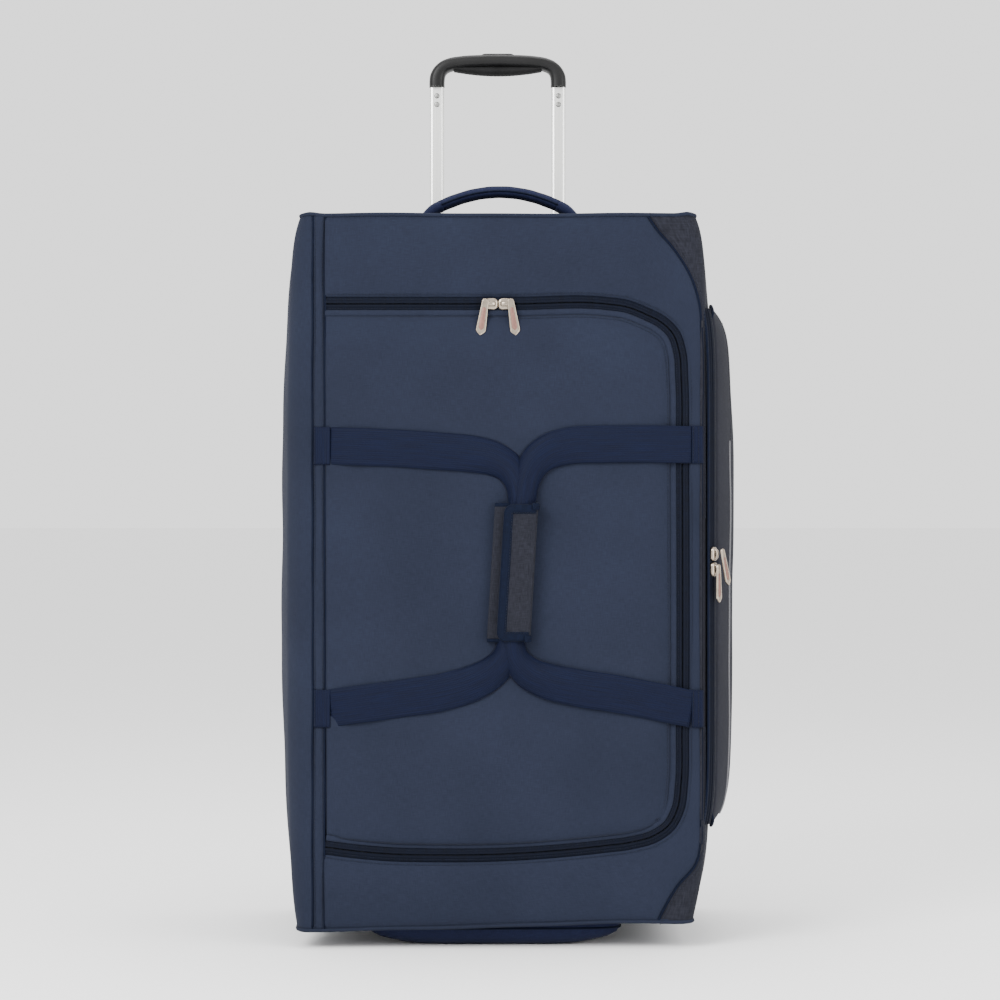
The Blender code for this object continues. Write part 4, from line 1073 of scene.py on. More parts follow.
GRIP_TOP, GRIP_FOOT, GRIP_LEAN = 0.4445, 0.3090, 0.0600
GRIP_MIDDLE = (GRIP_TOP + GRIP_FOOT) / 2
LEFT_HALF = [
    (HINGE + 0.0034, -0.0016, 0.5032, 1, 0.0), (-0.150, -0.0082, 0.5025, 1, 0.05),
    (-0.110, -0.0104, 0.5010, 1, 0.12), (-0.060, -0.0118, 0.4978, 1, 0.25),
    (-0.025, -0.0130, 0.4948, 1, 0.6), (-0.004, -0.0148, 0.4905, 1, 1.2),
    (0.0115, -0.0168, 0.4810, 1, 2.0), (0.0200, -0.0184, 0.4660, 1, 2.7),
    (0.0225, -0.0192, 0.4480, 1, 3.0), (0.0205, -0.0194, 0.4200, 1, 3.1),
    (0.0180, -0.0194, 0.3780, 1, 3.1), (0.0155, -0.0194, 0.3350, 1, 3.1),
    (0.0125, -0.0192, 0.3080, 1, 3.0), (0.0080, -0.0182, 0.2920, 1, 2.5),
    (-0.0050, -0.0164, 0.2770, 1, 1.7), (-0.0240, -0.0146, 0.2665, 1, 0.9),
    (-0.0480, -0.0128, 0.2590, 1, 0.4), (-0.100, -0.0108, 0.2505, 1, 0.15),
    (-0.150, -0.0084, 0.2435, 1, 0.05), (HINGE + 0.0034, -0.0016, 0.2405, 1, 0.0),
]
RIGHT_HALF = [
    (0.1952, -0.0032, 0.5042, 1, 0.0), (0.1800, -0.0058, 0.5044, 1, 0.0), (0.1500, -0.0104, 0.5048, 1, 0.05),
    (0.1025, -0.0124, 0.5045, 1, 0.2), (0.0720, -0.0140, 0.5030, 1, 0.5), (0.0510, -0.0162, 0.4970, 1, 1.1),
    (0.0370, -0.0188, 0.4855, 1, 1.9), (0.0295, -0.0208, 0.4690, 1, 2.6), (0.0265, -0.0216, 0.4490, 1, 3.0),
    (0.0235, -0.0216, 0.4200, 1, 3.1), (0.0205, -0.0216, 0.3780, 1, 3.1), (0.0175, -0.0216, 0.3350, 1, 3.1),
    (0.0150, -0.0214, 0.3080, 1, 3.0), (0.0185, -0.0204, 0.2910, 1, 2.5), (0.0310, -0.0184, 0.2770, 1, 1.7),
    (0.0500, -0.0160, 0.2685, 1, 0.9), (0.0760, -0.0138, 0.2625, 1, 0.4), (0.1200, -0.0122, 0.2555, 1, 0.15),
    (0.1650, -0.0086, 0.2465, 1, 0.05), (0.1952, -0.0032, 0.2400, 1, 0.0),
]


def straps():
    """Both webbing loops, and the tabs that sew them to the bag."""
    webbing = size("webbing")
    scale = np.array((1, 1, 1, webbing, 1))
    left = ribbon("left_webbing", np.array(LEFT_HALF) * scale)
    clothe(left, "webbing_cloth")
    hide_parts("grab_strap_left")
    right = ribbon("right_webbing", np.array(RIGHT_HALF) * scale)
    clothe(right, "webbing_cloth")
    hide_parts("grab_strap_right")
    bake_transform(left)
    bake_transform(right)
    for place, z0 in (("upper", 0.5032), ("lower", 0.2405)):
        x0, x1 = LEFT_SEAM + 0.0006, HINGE + 0.0052
        x, z = np.meshgrid(np.linspace(x0, x1, 20), z0 + np.linspace(-0.5, 0.5, 14) * (webbing + 0.0004))
        y = -0.0022 - 0.0012 * ease((x - HINGE) / 0.0034) + 0.0030 * ease((x0 + 0.0014 - x) / 0.002)
        tab = grid(f"tab_left_{place}", np.stack((x, y, z), -1), facing=AHEAD, thick=0.0012)
        clothe(tab, "webbing_cloth")
        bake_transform(tab)
        row = np.array([(x0 + 0.0018, -0.0025, z0 - 0.0165), (x0 + 0.0018, -0.0025, z0 + 0.0165)])
        sew(BODY, "webbing", f"tab_left_{place}_stitches", row, ACROSS, 0.0030)
    for place, z0 in (("upper", 0.5042), ("lower", 0.2404)):
        x, z = np.meshgrid(np.linspace(0.1940, 0.2062, 12), z0 + np.linspace(-0.5, 0.5, 14) * webbing)
        y = -0.0040 + 0.0030 * ease((x - 0.2035) / 0.004)
        tab = grid(f"tab_right_{place}", np.stack((x, y, z), -1), facing=AHEAD, thick=0.0016)
        finish(tab, "webbing_cloth", BODY, "webbing")
        for k, at in enumerate((0.1956, 0.2010)):
            row = np.array([(at, -0.0043, z0 - 0.0165), (at, -0.0043, z0 + 0.0165)])
            name = f"tab_right_{place}_stitches_{k}"
            sew(BODY, "webbing", name, row, ACROSS, 0.0030)


def lean_of(z):
    """How far the grip leans sideways at a height: in proportion to the height over its middle."""
    return GRIP_LEAN * (z - GRIP_MIDDLE)


def flap_depth(x):
    """The flap lies round the webbing: furthest out over its middle."""
    return -0.0246 + 0.0048 * ((x - 0.0225) / 0.020) ** 2


def grip():
    """The wrap behind both straps, its bindings, and the flap that closes over them."""
    rows = np.linspace(GRIP_FOOT + 0.0020, GRIP_TOP - 0.0020, 60)
    base = np.array([
        (-0.0065, -0.0120), (0.002, -0.0114), (0.012, -0.0112), (0.022, -0.0112), (0.030, -0.0114)])
    spine = bend((0.0305, -0.0176), 0.0062, 80, -88, 12)
    section = evenly(np.concatenate((base, spine)), 0.0016)
    x = section[None, :, 0] + lean_of(rows)[:, None]
    y = section[None, :, 1] + 0.0003 * creases(x, rows[:, None], (0.03, 0.05), 61)
    wrap = grid("grip_back", np.stack((x, y, rows[:, None] + 0 * x), -1), facing=(0.4, 1, 0), thick=0.0030)
    finish(wrap, "charcoal_cloth", "grab_handle_left", "charcoal_fabric", "grip_wrap")
    for name, z in (("top", GRIP_TOP - 0.0020), ("foot", GRIP_FOOT + 0.0020)):
        line = evenly(np.concatenate((base, spine)), 0.0012)
        path = np.stack((line[:, 0] + lean_of(z), line[:, 1] - 0.0006, np.full(len(line), z)), -1)
        cord(f"grip_binding_{name}", path, (0.0019, 0.0038, 12, 3.0), UP, "binding_cloth",
             "grab_handle_left", "navy_fabric")
    left, right, corner = 0.0030, 0.0350, 0.0085
    outline = np.concatenate((
        [(right, GRIP_TOP)], bend((left + corner, GRIP_TOP - corner), corner, 90, 180, 10),
        bend((left + corner, GRIP_FOOT + corner), corner, 180, 270, 10), [(right, GRIP_FOOT)],
    ))
    outline = evenly(outline, 0.0020)
    z, u = np.linspace(GRIP_FOOT + 0.0006, GRIP_TOP - 0.0006, 70)[:, None], np.linspace(0, 1, 26)[None]
    end = np.minimum(z - GRIP_FOOT, GRIP_TOP - z)
    start = left + corner - np.sqrt(np.maximum(corner**2 - np.maximum(corner - end, 0) ** 2, 0))
    x = start + 0.0006 + (right - start) * u
    y = flap_depth(x) + 0.00035 * creases(x, z, (0.026, 0.04, 0.07), 62)
    flap = grid("flap", np.stack((x + lean_of(z), y, z + 0 * x), -1), facing=AHEAD, thick=0.0030)
    finish(flap, "charcoal_cloth", "wrap_flap", "charcoal_fabric", "grip_flap")
    tangent = unit(np.gradient(outline, axis=0))
    inward = np.stack((-tangent[:, 1], tangent[:, 0]), -1)
    shape = ((0.0050, 0.0034), (0.0006, 0.0032), (-0.0004, 0.0016), (0.0002, -0.0003), (0.0022, -0.0009),
             (0.0060, -0.0010), (0.0086, -0.0009), (0.0094, 0.0002))
    rings = []
    for inset, back in shape:
        flat = outline + inset * inward
        x, z = flat.T
        rings.append(np.stack((x + lean_of(z), flap_depth(x) + back, z), -1))
    edge = grid("flap_binding", np.stack(rings), facing=AHEAD, thick=0.0006)
    finish(edge, "binding_cloth", "wrap_flap", "navy_fabric")
    flat = outline + 0.0080 * inward
    row = np.stack((flat[:, 0] + lean_of(flat[:, 1]), flap_depth(flat[:, 0]) - 0.0012, flat[:, 1]), -1)
    sew("wrap_flap", "navy_fabric", "flap_stitches", row, ACROSS, 0.0028, 0.0020)


HANDLE_X, HANDLE_ROOT, HANDLE_ANCHOR = 0.0022, 0.0880, 0.0955


def top_handle():
    """A padded arch: an oval section that thins to flat webbing at both ends."""
    half = [(-0.0885, 0.7374), (-0.0812, 0.7446), (-0.0685, 0.7536), (-0.0455, 0.7640),
            (-0.0215, 0.7704), (0, 0.7722)]
    line = np.array([(HANDLE_X + x, 0, z) for x, z in half] + [(HANDLE_X - x, 0, z) for x, z in half[-2::-1]])
    path = flowing(line, 90) + (0, DEPTH / 2, 0)
    u = np.linspace(0, 1, 90)
    thick = 0.0016 + 0.0044 * ease(np.minimum(u, 1 - u) / 0.14) + 0.0001 * np.sin(u * 60)
    wide = 0.0125 + 0.0008 * ease(np.minimum(u, 1 - u) / 0.14)
    section = oval(wide, thick, 24, 2.6)
    body, cut = swept(path, section, UP), 16
    arch = grid("handle", body[cut: 90 - cut], around=True)
    finish(arch, "handle_cloth", "carry_handle", "handle_fabric", "top_handle")
    for side, rows in ((-1, body[: cut + 1]), (1, body[90 - cut - 1:])):
        root = grid(f"handle_root_{side}", rows, around=True)
        clothe(root, "handle_cloth")
        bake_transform(root)
    for name, k in (("front", 0), ("back", 12)):
        edge = body[cut: 90 - cut, k]
        cord(f"handle_piping_{name}", edge, (0.0011, 0.0011, 8), UP, "binding_cloth",
             "carry_handle", "handle_fabric")
        row = body[cut: 90 - cut, 3 if k == 0 else 9] + (0, 0, 0.0002)
        sew("carry_handle", "handle_fabric", f"handle_stitches_{name}", row, BACK)
    for side in (-1, 1):
        outline = rounded(0.034, 0.040, 0.004, 5, (HANDLE_X + side * HANDLE_ANCHOR, DEPTH / 2))
        shape = ((0.0, -0.0010), (0.0, 0.0007), (0.0005, 0.0011), (0.0014, 0.0012))
        patch = moulding(f"handle_anchor_{side}", outline, shape, (0, 0, TOP), crisp=0)
        finish(patch, "webbing_cloth", BODY, "webbing")
        square = rounded(0.027, 0.033, 0.001, 1, (HANDLE_X + side * HANDLE_ANCHOR, DEPTH / 2))
        row = np.stack((square[:, 0], square[:, 1], np.full(len(square), TOP + 0.0013)), -1)
        row = np.concatenate((row, row[:1]))
        sew(BODY, "webbing", f"anchor_stitches_{side}", row, (0.7, 0.7, 0))


# ---- side pocket -------------------------------------------------------------------------------------
POCKET_FRONT, POCKET_BACK = 0.0150, 0.2345
POCKET_LOW, POCKET_HIGH = 0.1200, 0.6450


def wall_at(y, z):
    """The right wall's surface behind its front corner."""
    return reach(z, 1) + bulge(y, z)


def pocket_face(u, v):
    """The pocket's outer face: u from its front edge to its hinge, v from its foot to its top."""
    y = POCKET_FRONT + (POCKET_BACK - POCKET_FRONT) * u
    z = POCKET_LOW + (POCKET_HIGH - POCKET_LOW) * v
    ends = swell(v, 20)
    shoulder = 0.0046 * ease(u / 0.03) * ease((1 - u) / 0.10)
    rise = 0.0030 + ends * (shoulder + size("pocket_fill") * swell(u, 2.2))
    soft = creases(y, z, (0.24, 0.15, 0.32), 71) * 0.0012 + creases(y, z, (0.05, 0.08), 72) * 0.0003
    x = wall_at(y, z) + rise + soft * ends * swell(u, 4)
    return np.stack((x, y, z + 0 * x), -1)


def pocket():
    """The pocket's face and binding, its zip and gusset, and its sliders and pulls."""
    v = 0.5 - 0.5 * np.cos(np.linspace(0, math.pi, 120))
    u = 0.5 - 0.5 * np.cos(np.linspace(0, math.pi, 70))
    curl = 0.5 * (1 - np.sqrt(np.clip(1 - np.clip(1 - np.minimum(v, 1 - v) / 0.045, 0, 1) ** 2, 0, 1)))
    squeeze = 0.20 * curl[:, None]
    across = squeeze + (1 - 2 * squeeze) * u[None]
    points = pocket_face(across, v[:, None] + 0 * across)
    shell = grid("pocket_shell", points, facing=ACROSS, thick=size("wall_cloth"))
    finish(shell, "charcoal_cloth", "side_pocket", "charcoal_fabric", "pocket_panel")
    rim = np.concatenate((
        pocket_face(across[::-1, 0], v[::-1]), pocket_face(across[0], 0 * u)[1:],
        pocket_face(across[:, -1], v)[1:], pocket_face(across[-1, ::-1], 0 * u + 1)[1:-1],
    ))
    rim = evenly(np.concatenate((rim, rim[:1])), 0.0040)[:-1]
    out = unit(np.stack((np.ones(len(rim)), np.zeros(len(rim)), np.zeros(len(rim))), -1))
    cord("pocket_binding", rim + (0.0002, 0, 0), PIPING, out, "binding_cloth",
         "side_pocket", "navy_fabric", True)
    line = pocket_face(np.full(90, 0.20), np.linspace(0.018, 0.742, 90))
    cord("pocket_line", line + (0.0003, 0, 0), (0.0008, 0.0012, 10), ACROSS, "light_cord",
         "side_pocket", "charcoal_fabric")
    row = pocket_face(np.full(60, 0.232), np.linspace(0.03, 0.97, 60)) + (0.0004, 0, 0)
    sew("side_pocket", "charcoal_fabric", "pocket_stitches", row, BACK)
    z = np.linspace(POCKET_LOW + 0.004, POCKET_HIGH - 0.004, 90)
    facing, along = np.array((0.788, -0.616, 0)), np.array((0.616, 0.788, 0))
    wall = wall_at(np.full(90, 0.0080), z)
    proud = swell(np.linspace(0, 1, 90), 11)
    slit_x = (0.2150 + (wall - 0.2085) * 0.35) * proud + (wall + 0.0010) * (1 - proud)
    slit = np.stack((slit_x, np.full(90, 0.0076), z), -1)
    for name, way, body in (("wall", -1, BODY), ("panel", 1, "side_pocket")):
        bumps = ZIP_BUMPS[:-1] + ((0.0064, -0.0006 if way < 0 else 0.0),)
        rows = np.stack([slit + along * way * at + facing * height for at, height in bumps])
        tape = grid(f"pocket_zip_{name}", rows, facing=facing, thick=0.0010)
        finish(tape, "zip_cloth", body, "zip_tape", *(("pocket_zip_tape",) if way < 0 else ()))
        row = slit + along * way * 0.0050 + facing * 0.0003
        sew(body, "zip_tape", f"pocket_zip_stitches_{name}", row, along, 0.0028, 0.0019, 0.0006)
    wall_edge = slit - along * 0.0068
    cord("pocket_wall_binding", wall_edge, (0.0015, 0.0012, 10), facing, "binding_cloth", BODY, "navy_fabric")
    v2, w2 = np.linspace(0.006, 0.994, 80)[:, None], np.linspace(0, 1, 7)[None]
    edge = pocket_face(0 * v2 + 0.003, v2)[:, 0]
    tape_edge = np.stack([np.interp(edge[:, 2], z, (slit + along * 0.0060)[:, k]) for k in range(3)], -1)
    gusset = tape_edge[:, None] + (edge - tape_edge)[:, None] * w2[..., None]
    gusset = gusset + facing * (0.0012 * swell(w2, 2))[..., None]
    side_strip = grid("pocket_gusset", gusset, facing=facing, thick=0.0012)
    finish(side_strip, "charcoal_cloth", "side_pocket", "charcoal_fabric")
    for name, lean in (("upper", 18), ("lower", 2)):
        node = f"pocket_slider_{name}"
        centre = (low(node) + high(node)) / 2 - ORIGIN
        at = np.array([np.interp(centre[2], z, slit[:, k]) for k in (0, 1)] + [centre[2]]) + facing * 0.0028
        way = 1 if name == "upper" else -1
        zip_slider(f"side_slider_{name}", at, (0, 0, way), along, facing, 0.0140, 0.0096,
                   f"pocket_zip_slider_{name}", node)
        eye = bag(JOINTS[f"pocket_pull_{name}_lift"]["pos_m"]) + facing * 0.0010
        zip_pull(f"side_pull_{name}", eye, along, UP, facing, 0.0365, 0.0078, lean,
                 f"pocket_zip_pull_{name}", f"pocket_pull_{name}")


# ---- trolley -----------------------------------------------------------------------------------------
def trolley():
    """The trolley's grip, finger pad, button, rivets and collars, and the bezel that it slides in."""
    half = [(TUBE_X, 0.9012), (TUBE_X, 0.9070), (TUBE_X - 0.0006, 0.9122), (TUBE_X - 0.0030, 0.9180),
            (TUBE_X - 0.0078, 0.9228), (TUBE_X - 0.0145, 0.9257), (TUBE_X - 0.0260, 0.9277), (0.018, 0.9291)]
    points = np.array([(-x, TUBE_Y, z) for x, z in half] + [(x, TUBE_Y, z) for x, z in half[::-1]])
    path = flowing(points, 110)
    bar = ease((path[:, 2] - 0.910) / 0.014)
    section = oval(0.0084 - 0.0012 * bar, 0.0118 + 0 * bar, 28, 3.2)
    handle = grid("trolley_handle", swept(path, section, BACK), around=True, crisp=60)
    finish(handle, "soft_touch", "trolley", "black_plastic", "trolley_grip")
    x = np.linspace(-0.0480, 0.0480, 90)
    drop = 0.0060 + 0.0052 * swell((x + 0.050) / 0.100, 2.0)
    ribs = 0.00008 * np.sin(2 * math.pi * x / 0.0040)
    angle = np.linspace(0, 2 * math.pi, 20, endpoint=False)
    y = TUBE_Y + 0.0090 * np.sign(np.cos(angle)) * np.abs(np.cos(angle)) ** 0.7
    rings = np.stack(np.broadcast_arrays(
        x[:, None], y[None], 0.9245 - (drop + ribs)[:, None] * (0.5 - 0.5 * np.sin(angle))[None]), -1)
    pad = grid("finger_pad", rings, around=True)
    finish(pad, "rubber", "trolley", "black_plastic", "grip_finger_pad")
    outline = rounded(0.0360, 0.0136, 0.0062, 8, (0.0, TUBE_Y))
    shape = ((0.0, -0.0010), (0.0, 0.0040), (0.0006, 0.0052), (0.0020, 0.0058), (0.0045, 0.0060))
    button = moulding("button", outline, shape, (0, 0, 0.9318))
    finish(button, "moulded", "trolley_button", "black_plastic", "release_button")
    rim = np.stack(np.broadcast_arrays(
        outline[:, 0] * 1.03, TUBE_Y + (outline[:, 1] - TUBE_Y) * 1.06, 0.9358), -1)
    cord("button_rim", rim, (0.0007, 0.0005, 8), UP, "moulded", "trolley", "black_plastic", True)
    for side, word in ((-1, "left"), (1, "right")):
        for place, z in (("upper", 0.8912), ("lower", 0.8818)):
            disc = bend((0, 0), 0.0026, 0, 345, 23)
            shape = ((0.0, -0.0008), (0.0, 0.0001), (0.0006, 0.00025), (0.0018, 0.0003))
            at = (side * TUBE_X, TUBE_Y - 0.00525, z)
            rivet = moulding(f"rivet_{word}_{place}", disc, shape, at, (ACROSS, UP, AHEAD), 0)
            finish(rivet, "steel", "trolley", "steel", f"trolley_rivet_{word}_{place}")
        collar = rounded(0.0185, 0.0135, 0.0040, 6, (side * TUBE_X, TUBE_Y))
        loop = np.stack((collar[:, 0], collar[:, 1], np.full(len(collar), TOP + 0.0046)), -1)
        cord(f"tube_collar_{word}", loop, (0.0012, 0.0009, 10), UP, "moulded", BODY, "black_plastic", True)
    outline = rounded(0.186, 0.034, 0.012, 8, (0.0, TUBE_Y - 0.006))
    shape = ((0.0, -0.0030), (0.0, 0.0030), (0.0008, 0.0045), (0.0022, 0.0052), (0.0050, 0.0054))
    plate = moulding("bezel", outline, shape, (0, 0, TOP))
    finish(plate, "moulded", BODY, "black_plastic", "trolley_bezel")


# ---- wheels, guards and foot -------------------------------------------------------------------------
def turned(name, centre, profile, shift=None, sides=96):
    """A closed (along, radius) profile turned about the wheel's axle. shift moves points by angle and
    radius."""
    profile = np.asarray(profile, float)
    angle = np.linspace(0, 2 * math.pi, sides, endpoint=False)
    along = profile[:, 0][:, None] + 0 * angle
    radius = profile[:, 1][:, None] + 0 * angle
    if shift is not None:
        along, radius = shift(along, radius, angle[None] + 0 * radius)
    points = np.stack((along, radius * np.cos(angle), radius * np.sin(angle)), -1) + centre
    return grid(name, points, around=True, ring=True, crisp=45)


def wheels():
    """Tyres and hubs, turned about their axles."""
    tread = [(-0.0095, 0.0262), (-0.0122, 0.0270), (-0.0130, 0.0290), (-0.0130, 0.0340), (-0.0120, 0.0366),
             (-0.0098, 0.0378), (-0.0040, 0.0380), (-0.0032, 0.0372), (-0.0024, 0.0380), (0.0024, 0.0380),
             (0.0032, 0.0372), (0.0040, 0.0380), (0.0098, 0.0378), (0.0120, 0.0366), (0.0130, 0.0340),
             (0.0130, 0.0290), (0.0122, 0.0270), (0.0095, 0.0262)]
    disc = [(-0.0120, 0.0263), (-0.0120, 0.0240), (-0.0100, 0.0228), (-0.0096, 0.0200), (-0.0096, 0.0160),
            (-0.0098, 0.0130), (-0.0110, 0.0112), (-0.0118, 0.0090), (-0.0120, 0.0050),
            (0.0120, 0.0050), (0.0118, 0.0090), (0.0110, 0.0112), (0.0098, 0.0130), (0.0096, 0.0160),
            (0.0096, 0.0200), (0.0100, 0.0228), (0.0120, 0.0240), (0.0120, 0.0263)]

    def pockets(along, radius, angle):
        """Five hollows between spokes."""
        between = ease((np.cos(5 * angle) + 0.35) / 0.5)
        bite = between * ease((radius - 0.0115) / 0.003) * ease((0.0238 - radius) / 0.003)
        return along - np.sign(along) * 0.0060 * bite, radius

    for word in ("left", "right"):
        body = f"wheel_{word}"
        centre = bag(JOINTS[f"{body}_spin"]["pos_m"])
        finish(turned(f"tyre_rubber_{word}", centre, tread), "rubber", body, "wheel_rubber", f"tyre_{word}")
        hub = turned(f"hub_{word}", centre, disc, pockets)
        finish(hub, "moulded", body, "black_plastic", f"wheel_hub_{word}")


SKID_X = 0.134                    # from the middle to each skid


def guards():
    """The kick plate with its ribs, and two skids with their screws."""
    axes, on_back = (ACROSS, UP, BACK), (0, DEPTH, 0)
    outline = rounded(0.303, 0.0934, 0.014, 8, (0.0, 0.0773))
    shape = ((0.0, -0.0040), (0.0, 0.0012), (0.0010, 0.0024), (0.0030, 0.0028))
    plate = moulding("kick_guard", outline, shape, on_back, axes)
    finish(plate, "moulded", BODY, "black_plastic", "kick_plate")
    for k, z in enumerate(np.linspace(0.050, 0.104, 4)):
        path = np.stack((np.linspace(-0.130, 0.130, 60), np.full(60, DEPTH + 0.0026), np.full(60, z)), -1)
        cord(f"kick_rib_{k}", path, (0.0022, 0.0014, 10), BACK, "moulded", BODY, "black_plastic")
    for side, word in ((-1, "left"), (1, "right")):
        outline = rounded(0.020, 0.564, 0.0098, 10, (side * SKID_X, 0.416))
        shape = ((0.0, -0.0010), (0.0, 0.0040), (0.0012, 0.0068), (0.0036, 0.0083), (0.0070, 0.0087))
        skid = moulding(f"skid_{word}", outline, shape, on_back, axes, 70)
        finish(skid, "moulded", BODY, "black_plastic", f"rear_skid_{word}")
        for k, z in enumerate((0.150, 0.416, 0.682)):
            disc = bend((side * SKID_X, z), 0.0034, 0, 345, 23)
            shape = ((0.0, 0.0070), (0.0, 0.0092), (0.0006, 0.0098), (0.0020, 0.0100), (0.0022, 0.0092))
            screw = moulding(f"skid_screw_{word}_{k}", disc, shape, on_back, axes, 50)
            finish(screw, "steel", BODY, "steel")


def foot():
    """The standing foot: a fabric-covered bolster, round-ended below like a boat."""
    node_low, node_high = low("standing_foot") - ORIGIN, high("standing_foot") - ORIGIN
    centre = (node_low + node_high) / 2
    levels = ((0.0266, 0.1285, 0.0298), (0.0220, 0.1288, 0.0302), (0.0180, 0.1282, 0.0300),
              (0.0130, 0.1248, 0.0288), (0.0085, 0.1165, 0.0264), (0.0045, 0.1015, 0.0226),
              (0.0016, 0.0870, 0.0176), (0.0002, 0.0780, 0.0120), (0.0, 0.0640, 0.0060))
    angle = np.linspace(0, 2 * math.pi, 120, endpoint=False)
    c, s = np.cos(angle), np.sin(angle)
    ends, sides = np.sign(c) * np.abs(c) ** 0.45, np.sign(s) * np.abs(s) ** 0.55
    rings = [np.stack(np.broadcast_arrays(centre[0] + long * ends, centre[1] + deep * sides, z), -1)
             for z, long, deep in levels]
    bolster = grid("foot", np.stack(rings), around=True)
    finish(bolster, "foot_cloth", BODY, "foot_fabric", "standing_foot")
    cord("foot_seam", rings[2], (0.0012, 0.0012, 8), UP, "binding_cloth", BODY, "foot_fabric", True)


# ---- nodes that stay as they are ---------------------------------------------------------------------
METALS = ("axle", "bearing", "rod", "spring")


def cad_nodes():
    """Finishes for the frame's own nodes that still show."""
    for name, node in frame["nodes"].items():
        if node.hide_render:
            continue
        kind = "moulded"
        if "tube" in name:
            kind = "aluminium"
        elif any(word in name for word in METALS):
            kind = "steel"
        node.data.materials.clear()
        node.data.materials.append(look(kind))


# ---- studio ------------------------------------------------------------------------------------------
LENS, CAMERA, SKY = 108.0, (0.0025, -3.0, 0.449), 1.7


def lamp(name, place, target, wide, watts):
    """A round area light that faces a point."""
    data = bpy.data.lights.new(name, "AREA")
    data.shape, data.size, data.energy = "DISK", wide, watts
    made = bpy.data.objects.new(name, data)
    collection().objects.link(made)
    made.location = place
    made.rotation_euler = (mathutils.Vector(target) - made.location).to_track_quat("-Z", "Y").to_euler()


def studio():
    """A broad pale floor, a soft key from upper left, a fill from the right, and the camera."""
    x, y = np.meshgrid(np.linspace(-45, 45, 31), np.linspace(-45, 45, 31))
    floor = grid("floor", np.stack((x, y, 0 * x), -1), facing=UP)
    floor.data.materials.append(look("pale_floor"))
    world = bpy.data.worlds.new("studio")
    world.use_nodes = True
    world.node_tree.nodes["Background"].inputs["Color"].default_value = (1, 1, 1, 1)
    world.node_tree.nodes["Background"].inputs["Strength"].default_value = SKY
    bpy.context.scene.world = world
    middle = home((0, DEPTH / 2, 0.42))
    lamp("key", home((-1.5, -2.0, 1.9)), middle, 1.6, 105)
    lamp("fill", home((1.9, -1.5, 0.9)), middle, 1.8, 42)
    lamp("top", home((0.1, 0.3, 2.4)), middle, 1.4, 30)
    data = bpy.data.cameras.new("camera")
    data.lens, data.sensor_width, data.clip_start = LENS, 36.0, 0.01
    camera = bpy.data.objects.new("camera", data)
    collection().objects.link(camera)
    camera.location = home(CAMERA)
    camera.rotation_euler = (math.pi / 2, 0, 0)
    bpy.context.scene.camera = camera


# ---- add-on ------------------------------------------------------------------------------------------
class DuffelSizes(bpy.types.PropertyGroup):
    """Measures of the soft parts, in metres."""

    webbing: bpy.props.FloatProperty(
        name="Webbing width", description="Width of the grab straps", unit="LENGTH", precision=4,
        default=0.0373)
    wall_cloth: bpy.props.FloatProperty(
        name="Wall cloth", description="Thickness of the walls, the lid and the pocket", unit="LENGTH",
        precision=4, default=0.0022)
    wall_swell: bpy.props.FloatProperty(
        name="Wall swell", description="How far the side walls bulge", unit="LENGTH", precision=4,
        default=0.0170)
    lid_rise: bpy.props.FloatProperty(
        name="Lid rise", description="How far the lid stands proud of its zip", unit="LENGTH", precision=4,
        default=0.0078)
    pocket_fill: bpy.props.FloatProperty(
        name="Pocket fill", description="How far the side pocket swells", unit="LENGTH", precision=4,
        default=0.0130)
    stitch: bpy.props.FloatProperty(
        name="Stitch", description="Length of one seam stitch", unit="LENGTH", precision=4, default=0.0025)


class DuffelColours(bpy.types.PropertyGroup):
    """Base colours, linear, that the finishes are shaded from."""

    navy: bpy.props.FloatVectorProperty(
        name="Navy cloth", description="Lid, frame and left wall", subtype="COLOR", size=3,
        default=(0.0118, 0.0146, 0.0265))
    charcoal: bpy.props.FloatVectorProperty(
        name="Charcoal cloth", description="Right wall, pocket and grip", subtype="COLOR", size=3,
        default=(0.0122, 0.0128, 0.0180))
    binding: bpy.props.FloatVectorProperty(
        name="Binding", description="Seam tape and piping", subtype="COLOR", size=3,
        default=(0.0022, 0.0040, 0.0120))
    handle: bpy.props.FloatVectorProperty(
        name="Handle cloth", description="Carry handle and standing foot", subtype="COLOR", size=3,
        default=(0.0086, 0.0112, 0.0310))
    webbing: bpy.props.FloatVectorProperty(
        name="Webbing", description="Grab straps", subtype="COLOR", size=3, default=(0.0022, 0.0040, 0.0150))
    lining: bpy.props.FloatVectorProperty(
        name="Lining", description="Inside of the bag", subtype="COLOR", size=3,
        default=(0.070, 0.074, 0.088))
    accent: bpy.props.FloatVectorProperty(
        name="Accent line", description="Pale line on the pocket", subtype="COLOR", size=3,
        default=(0.13, 0.13, 0.14))
    plastic: bpy.props.FloatVectorProperty(
        name="Plastic", description="Mouldings", subtype="COLOR", size=3, default=(0.0036, 0.0036, 0.0038))
    tube: bpy.props.FloatVectorProperty(
        name="Tubes", description="Trolley tubes", subtype="COLOR", size=3, default=(0.80, 0.80, 0.78))
    champagne: bpy.props.FloatVectorProperty(
        name="Zip metal", description="Sliders and pulls", subtype="COLOR", size=3,
        default=(0.36, 0.305, 0.245))
    inset: bpy.props.FloatVectorProperty(
        name="Pull inset", description="Tinted face of a pull", subtype="COLOR", size=3,
        default=(0.20, 0.105, 0.085))
    floor: bpy.props.FloatVectorProperty(
        name="Floor", description="Studio floor", subtype="COLOR", size=3, default=(0.93, 0.93, 0.93))


class DUFFEL_OT_walls(bpy.types.Operator):
    """Left and right walls, each a run of level rows, with the seams of the two corner patches"""

    bl_idname = "duffel.walls"
    bl_label = "Side walls"

    def execute(self, context):
        side_walls()
        return {"FINISHED"}


